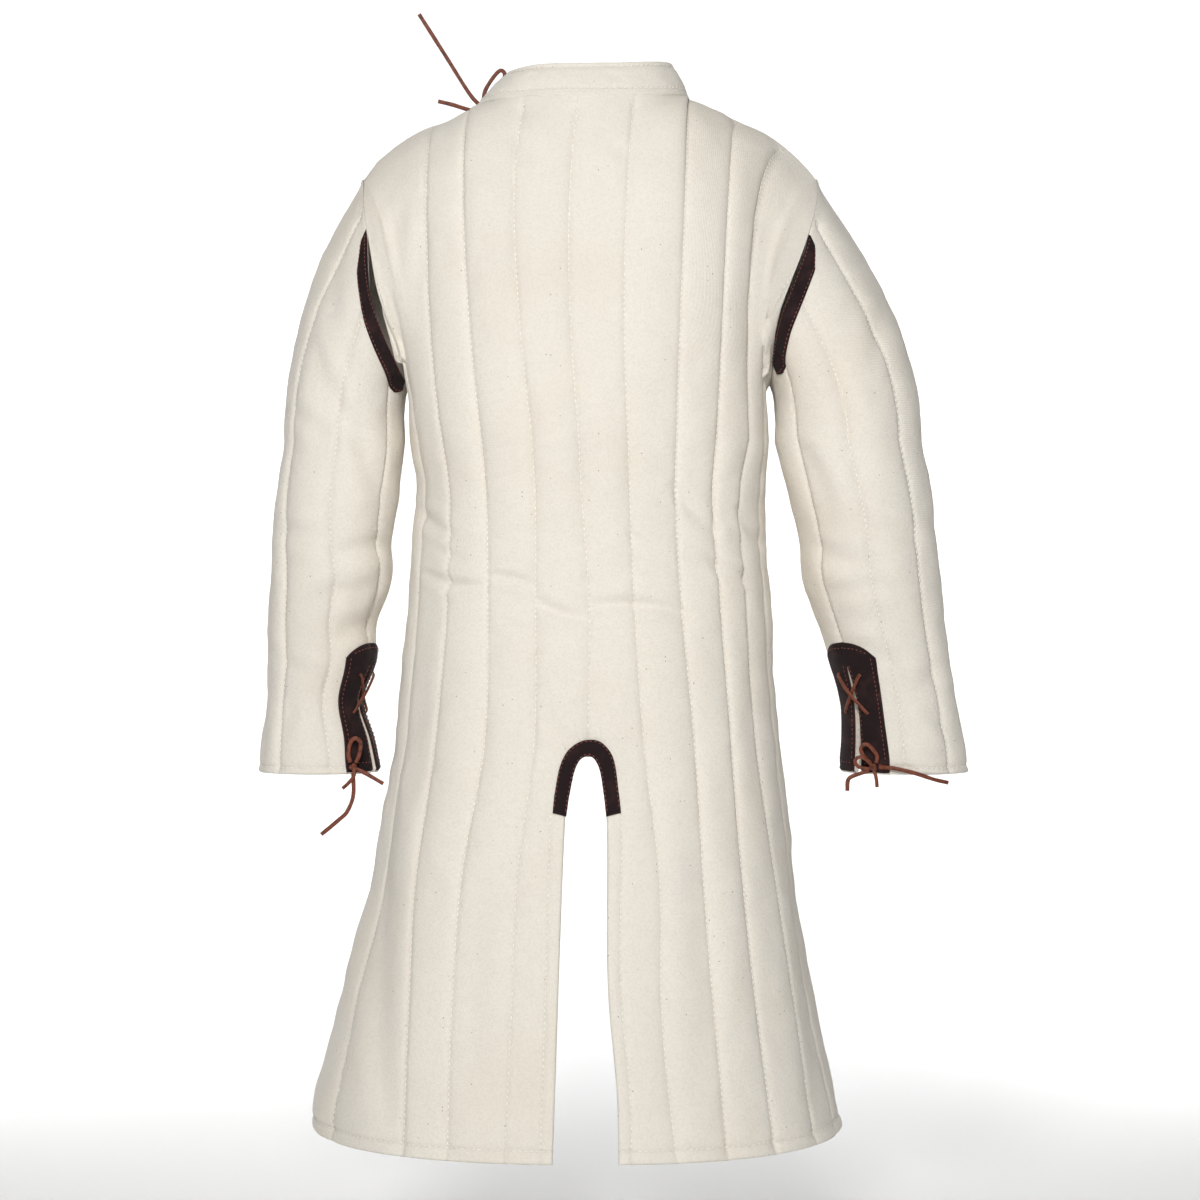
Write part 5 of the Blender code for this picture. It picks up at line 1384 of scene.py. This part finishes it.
def slitWidths(heights):
    top, foot = sleeveSizes["slitTop"], sleeveSizes["cuff"]
    below = np.clip((top - heights) / (top - foot), 0, 1)
    return body["seamGap"] / 2 + sleeveSizes["slitWidth"] / 2 * below ** 0.6


def placeOn(surface, rowPlaces, columnPlaces):
    # Points between the grid's points
    r = np.clip(np.floor(rowPlaces).astype(int), 0, surface.shape[0] - 2)
    c = np.clip(np.floor(columnPlaces).astype(int), 0, surface.shape[1] - 2)
    down, right = (rowPlaces - r)[..., None], (columnPlaces - c)[..., None]
    upper = surface[r, c] * (1 - right) + surface[r, c + 1] * right
    lower = surface[r + 1, c] * (1 - right) + surface[r + 1, c + 1] * right
    return upper * (1 - down) + lower * down


def clothAt(cloth, rowPlaces, columnPlaces):
    outer, normals = (placeOn(cloth[key], rowPlaces, columnPlaces) for key in ("outer", "normals"))
    return outer, unit(normals)


facing = {"thickness": 0.0016, "gap": 0.0003, "edge": 0.0011, "lump": 0.0003}
armpitSizes = {"columns": 78, "rows": 17, "width": 0.0240, "endFullness": 0.50, "fullness": 1.4}
cuffSizes = {"top": -0.5400, "drop": 0.0150, "slitRow": 9, "rows": 32, "reach": 2.15,
             "waist": 0.20, "waistFrom": -0.560, "waistLength": 0.100,
             "half": (0, 0.02, 0.05, 0.10, 0.17, 0.26, 0.36, 0.48, 0.60, 0.70, 0.79, 0.87, 0.93, 0.97, 1.0)}


def makeFacing(name, surface, normals, edge, keep, replaced, sewnRows, sewnColumns):
    # A leather layer a hair above the cloth, its edges turned down, with its own red sewing
    lumps = facing["lump"] * noiseField(surface, (90, 90, 90), 7.0)
    fall = rounding(edge, facing["edge"])
    outer = surface + normals * (facing["gap"] + facing["thickness"] + lumps - fall)[..., None]
    inner = surface + normals * facing["gap"]
    cloth = np.stack([alongRows(surface), alongColumns(surface)], axis=-1)
    piece = makeWall(name, outer, inner, cloth, edge, "suede", "suede", keep)
    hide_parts(replaced)
    bm = bmesh.new()
    for row, first, last in sewnRows:
        addStitches(bm, outer[row, first:last], normals[row, first:last], leatherSewing)
    for column, first, last in sewnColumns:
        addStitches(bm, outer[first:last, column], normals[first:last, column], leatherSewing)
    sewn = finishPiece(f"{name}_sewing", bm, "redThread")
    return piece, sewn


def makeArmpitFacing(name, ring):
    sleeve = sleeves[name]
    first, last = (value + sleeve["columns"] for value in sleeve["facing"])
    params = np.linspace(first, last, armpitSizes["columns"])
    columnPlaces = np.interp(params, ring["params"], np.arange(len(ring["params"])))
    along = np.sin(math.pi * (params - first) / (last - first))
    fullness = np.minimum(1.0, armpitSizes["endFullness"] + armpitSizes["fullness"] * along)
    spans = np.linspace(0, armpitSizes["width"], armpitSizes["rows"])
    rowPlaces = np.interp(spans[:, None] * fullness[None], sleeveSizes["nearSteps"],
                          np.arange(len(sleeveSizes["nearSteps"])))
    surface, normals = clothAt(ring, rowPlaces, np.broadcast_to(columnPlaces, rowPlaces.shape))
    return makeFacing(f"armpit_{name}_suede", surface, normals, edgeDistance(surface), None,
                      f"armpit_facing_{name}", ((2, 2, -2), (14, 2, -2)), ())


def makeCuffFacing(name, ring):
    sleeve = sleeves[name]
    seam = sleeve["backSeam"] + sleeve["columns"]
    half = np.array(cuffSizes["half"])
    shares = np.concatenate([-half[::-1], half])
    slitRow, slitTop = cuffSizes["slitRow"], sleeveSizes["slitTop"]
    heightRows = np.linspace(0, 1, cuffSizes["rows"])
    spacing = ring["across"][-1, ring["lines"][-1]] / sleeve["columns"]
    params = np.zeros((slitRow + len(heightRows), len(shares)))
    heights = np.zeros_like(params)
    for c, share in enumerate(shares):
        side = -1 if c < len(half) else 1
        top = cuffSizes["top"] - cuffSizes["drop"] * abs(share) ** 3
        heights[:slitRow, c] = np.linspace(top, slitTop, slitRow + 1)[:-1]
        heights[slitRow:, c] = slitTop + heightRows * (sleeveSizes["cuff"] - slitTop)
        widths = slitWidths(heights[:, c]) / spacing
        below = np.clip((cuffSizes["waistFrom"] - heights[:, c]) / cuffSizes["waistLength"], 0, 1)
        reach = cuffSizes["reach"] - cuffSizes["waist"] * np.sin(math.pi * below)
        params[:, c] = seam + side * (widths + abs(share) * (reach - widths))
    rowPlaces = np.interp(-heights, -np.array(sleeveHeights), np.arange(len(sleeveHeights)))
    rowPlaces = rowPlaces + len(ring["grid"]) - len(sleeveHeights)
    columnPlaces = np.interp(params, ring["params"], np.arange(len(ring["params"])))
    surface, normals = clothAt(ring, rowPlaces, columnPlaces)
    along, middle = alongRows(surface), len(half)
    edge = edgeDistance(surface)
    fromSlit = np.minimum(np.abs(along - along[:, middle - 1:middle]),
                          np.abs(along - along[:, middle:middle + 1]))
    edge[slitRow:] = np.minimum(edge[slitRow:], fromSlit[slitRow:])

    def keep(r, c):
        return not (r >= slitRow and c == middle - 1)

    return makeFacing(f"cuff_{name}_suede", surface, normals, edge, keep, f"cuff_facing_{name}",
                      ((2, 4, -4), (-4, 4, middle - 3), (-4, middle + 3, -4)),
                      ((3, 3, -4), (-4, 3, -4), (middle - 4, slitRow, -4), (middle + 3, slitRow, -4)))


def sewSleeve(name, part, ring, first, last, skipSeam):
    bm = bmesh.new()
    sleeve = sleeves[name]
    heights = ring["grid"][:, :, 2]
    for column in ring["lines"]:
        if not first <= column <= last:
            continue
        param = ring["params"][column] % sleeve["columns"]
        low = sleeveSizes["cuff"] + sleeveSizes["sewnAbove"]
        if abs(param - sleeve["backSeam"]) < 1e-6:
            if skipSeam:
                continue
            low = sleeveSizes["seamSewnTo"]
        leastFromTop = sleeveSizes["sewnBelowOpening" if ring["edges"][column] > 0 else "sewnBelow"]
        rows = np.where((heights[:, column] > low) & (ring["fromTop"][:, column] > leastFromTop))[0]
        addStitches(bm, ring["outer"][rows, column], ring["normals"][rows, column], sewing)
    row = int(np.argmin(np.abs(ring["fromHem"][:, 10] - sleeveSizes["hemStitch"])))
    seam = sleeve["backSeam"] + sleeve["columns"]
    clear = np.where(np.abs(ring["params"] - seam) > sleeveSizes["besideCuff"])[0]
    clear = clear[(clear >= first + 1) & (clear <= last - 1)]
    addStitches(bm, ring["outer"][row, clear], ring["normals"][row, clear], sewing)
    return finishPiece(f"sleeve_{name}_{part}_sewing", bm, "thread")


def makeSleeve(name):
    ring = sleeveRing(name)
    sleeve = sleeves[name]
    seam = int(np.argmin(np.abs(ring["params"] - sleeve["backSeam"] - sleeve["columns"])))
    last = len(ring["params"]) - 1
    heights = ring["grid"][:, seam, 2]
    slit = slitWidths(heights)
    gaps = np.full(len(heights), body["seamGap"] / 2)
    pieces = {}
    halves = {"outer": (0, seam, gaps, slit), "inner": (seam, last, slit, gaps)}
    for part, (start, end, firstWidths, lastWidths) in halves.items():
        cut = slice(start, end + 1)
        across = ring["across"][:, cut]
        walls = (shiftedBothEdges(ring[key][:, cut], across, firstWidths, lastWidths, sleeveSizes["slitSpan"])
                 for key in ("outer", "inner"))
        piece = makeWall(f"sleeve_{name}_{part}_cloth", *walls, ring["cloth"][:, cut], ring["seam"][:, cut],
                         "canvas", "canvas")
        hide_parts(f"sleeve_{name}_{part}")
        sewn = sewSleeve(name, part, ring, start, end, part == "inner")
        pieces[part] = (piece, sewn, across, ring["fromTop"][:, cut])
    armpit = makeArmpitFacing(name, ring)
    cuff = makeCuffFacing(name, ring)
    return pieces, armpit, cuff, ring


# Leather round the top of the vent

def makeVentFacing(panel):
    inside, outside = (evenPoints([(x, 0.0, z) for x, z in ventArch[key]], ventArch["columns"])
                       for key in ("inner", "outer"))
    flat = inside[None] + (outside - inside)[None] * np.array(ventArch["shares"])[:, None, None]
    grid = panel["grid"]
    upper = len(grid) - len(lowerHeights)
    rowPlaces = upper + np.interp(-flat[..., 2], -np.array(lowerHeights), np.arange(len(lowerHeights)))
    columnPlaces = np.zeros_like(rowPlaces)
    for spot in np.ndindex(rowPlaces.shape):
        across = -grid[int(rowPlaces[spot]), :, 0]
        columnPlaces[spot] = np.interp(-flat[spot][0], across, np.arange(len(across)))
    surface, normals = clothAt(panel, rowPlaces, columnPlaces)
    surface[..., 1] = placeOn(panel["grid"], rowPlaces, columnPlaces)[..., 1] - ventArch["sink"]
    return makeFacing("vent_suede", surface, normals, edgeDistance(surface), None, "vent_facing",
                      ((2, 2, -2), (8, 2, -2)), ())


collarPiece, collarSewing, collarShape = makeCollar()
print("collar made")
ventPieces = makeVentFacing(backPanel)
sleeveParts = {name: makeSleeve(name) for name in sleeves}
print("sleeves and facings made")


# Knots, cuff crosses and front ties

def addKnot(bm, centre, outward, turned):
    # A strap that runs round three times through itself
    reach = thongs["knotReach"]
    outward = unit(np.array(outward, float))
    sideways = unit(np.cross(np.array([0, 0, 1.0]), outward))
    up = np.cross(outward, sideways)
    turn = np.linspace(0, 2 * math.pi, 55)[:-1]
    wide = (np.sin(turn) + 2 * np.sin(2 * turn)) / 3 * reach
    high = (np.cos(turn) - 2 * np.cos(2 * turn)) / 3 * reach
    deep = -np.sin(3 * turn) * reach * thongs["knotDepth"]
    wide, high = (wide * math.cos(turned) - high * math.sin(turned),
                  wide * math.sin(turned) + high * math.cos(turned))
    path = np.array(centre) + sideways * wide[:, None] + up * high[:, None] + outward * deep[:, None]
    away = unit(path - np.array(centre) + outward * 0.0015)
    addStrap(bm, path, away, thongs["knotWidth"], thongs["knotThickness"], closed=True)


def knotPiece(name, centre, outward, turned, extra=()):
    bm = bmesh.new()
    addKnot(bm, centre, outward, turned)
    for route in extra:
        path = evenPoints(route, 12)
        addStrap(bm, path, outward, thongs["width"] * thongs["tailWidth"], thongs["thickness"])
    piece = finishPiece(f"{name}_thong", bm, "thong")
    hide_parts(name)
    return piece


knotExtras = {
    "collar": (),
    "cuff_left": (((0.2450, 0.0262, -0.6700), (0.2440, 0.0280, -0.6770), (0.2500, 0.0276, -0.6850),
                   (0.2562, 0.0268, -0.6905)),),
    "cuff_right": (((-0.2925, 0.0345, -0.6665), (-0.2860, 0.0368, -0.6600), (-0.2790, 0.0362, -0.6570),
                    (-0.2745, 0.0350, -0.6620), (-0.2790, 0.0346, -0.6680), (-0.2900, 0.0340, -0.6700)),
                   ((-0.2942, 0.0345, -0.6700), (-0.2965, 0.0362, -0.6790), (-0.2975, 0.0360, -0.6885)),),
}
for place, centre in knotPlaces.items():
    knotPiece(f"{place}_knot", centre, (0, 1, 0), thongs["knotTurn"], knotExtras[place])


crosses = {"top": -0.573, "foot": -0.612, "reach": 0.9, "over": 0.0030, "atEdge": -0.0004, "inside": -0.0022}


def makeCross(name, number, direction, over):
    sleeve = sleeves[name]
    route = []
    for place, lift in ((-1.06, crosses["inside"]), (-0.92, crosses["atEdge"]), (-0.5, over / 2), (0.0, over),
                        (0.5, over / 2), (0.92, crosses["atEdge"]), (1.06, crosses["inside"])):
        height = crosses["top"] + (crosses["foot"] - crosses["top"]) * (place + 1) / 2
        param = sleeve["backSeam"] + direction * place * crosses["reach"]
        route.append(tuple(sleevePoints(sleeve, [param], height, sleeve["crossLift"] + lift)[0]))
    height = route[3][2]
    across, depth = (smooth(sleeve["sections"], height, key) for key in ("centre", "middle"))
    outward = unit(np.array(route[3]) - np.array([sleeve["side"] * across, depth, height]))
    piece = f"cuff_{name}_cross_{number}"
    makeTail(f"{piece}_thong", route, outward, piece)


for name in sleeves:
    makeCross(name, 1, 1, 0.0)
    makeCross(name, 2, -1, crosses["over"])

frontTies = {"tail": ((0.028, 0.0075), (0.052, 0.0095), (0.072, 0.0120)), "lift": 0.0034,
             "start": 0.0050, "apart": 0.62, "down": -0.78}


def makeFrontTie(number):
    name = f"front_tie_{number}"
    centre = np.mean(np.array(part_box(f"{name}_knot")), axis=0)
    column = frontPanel["outer"][:, closure]
    row = int(np.argmin(np.linalg.norm(column - centre, axis=1)))
    outward = frontPanel["normals"][row, closure]
    across = unit(np.cross(np.array([0, 0, 1.0]), outward))
    knotPiece(f"{name}_knot", centre, outward, thongs["knotTurn"] * number)
    for side, word in ((1, "left"), (-1, "right")):
        away = unit(across * side * frontTies["apart"] + np.array([0, 0, frontTies["down"]]))
        route = [tuple(centre + away * frontTies["start"])]
        for down, sideways in frontTies["tail"]:
            foot = atLengths(column[row:], np.array([down]))[0]
            route.append(tuple(foot + outward * frontTies["lift"] + across * side * sideways))
        makeTail(f"{name}_{word}_tail_thong", route, outward, f"{name}_{word}_tail")


for number in (1, 2, 3):
    makeFrontTie(number)
print("knots, crosses and front ties made")


# Widths of the front and sleeve parts taken again; nothing is done with them


for name, first, last, sewn in (("front_left", 0, closure, frontLeftSewing),
                                ("front_right", closure, frontLast, frontRightSewing)):
    part = slice(first, last + 1)
    across = frontPanel["across"][:, part]
for name, (pieces, armpit, cuff, ring) in sleeveParts.items():
    for part, (piece, sewn, across, fromTop) in pieces.items():
        cut = slice(0, across.shape[1]) if part == "outer" else slice(-across.shape[1], None)
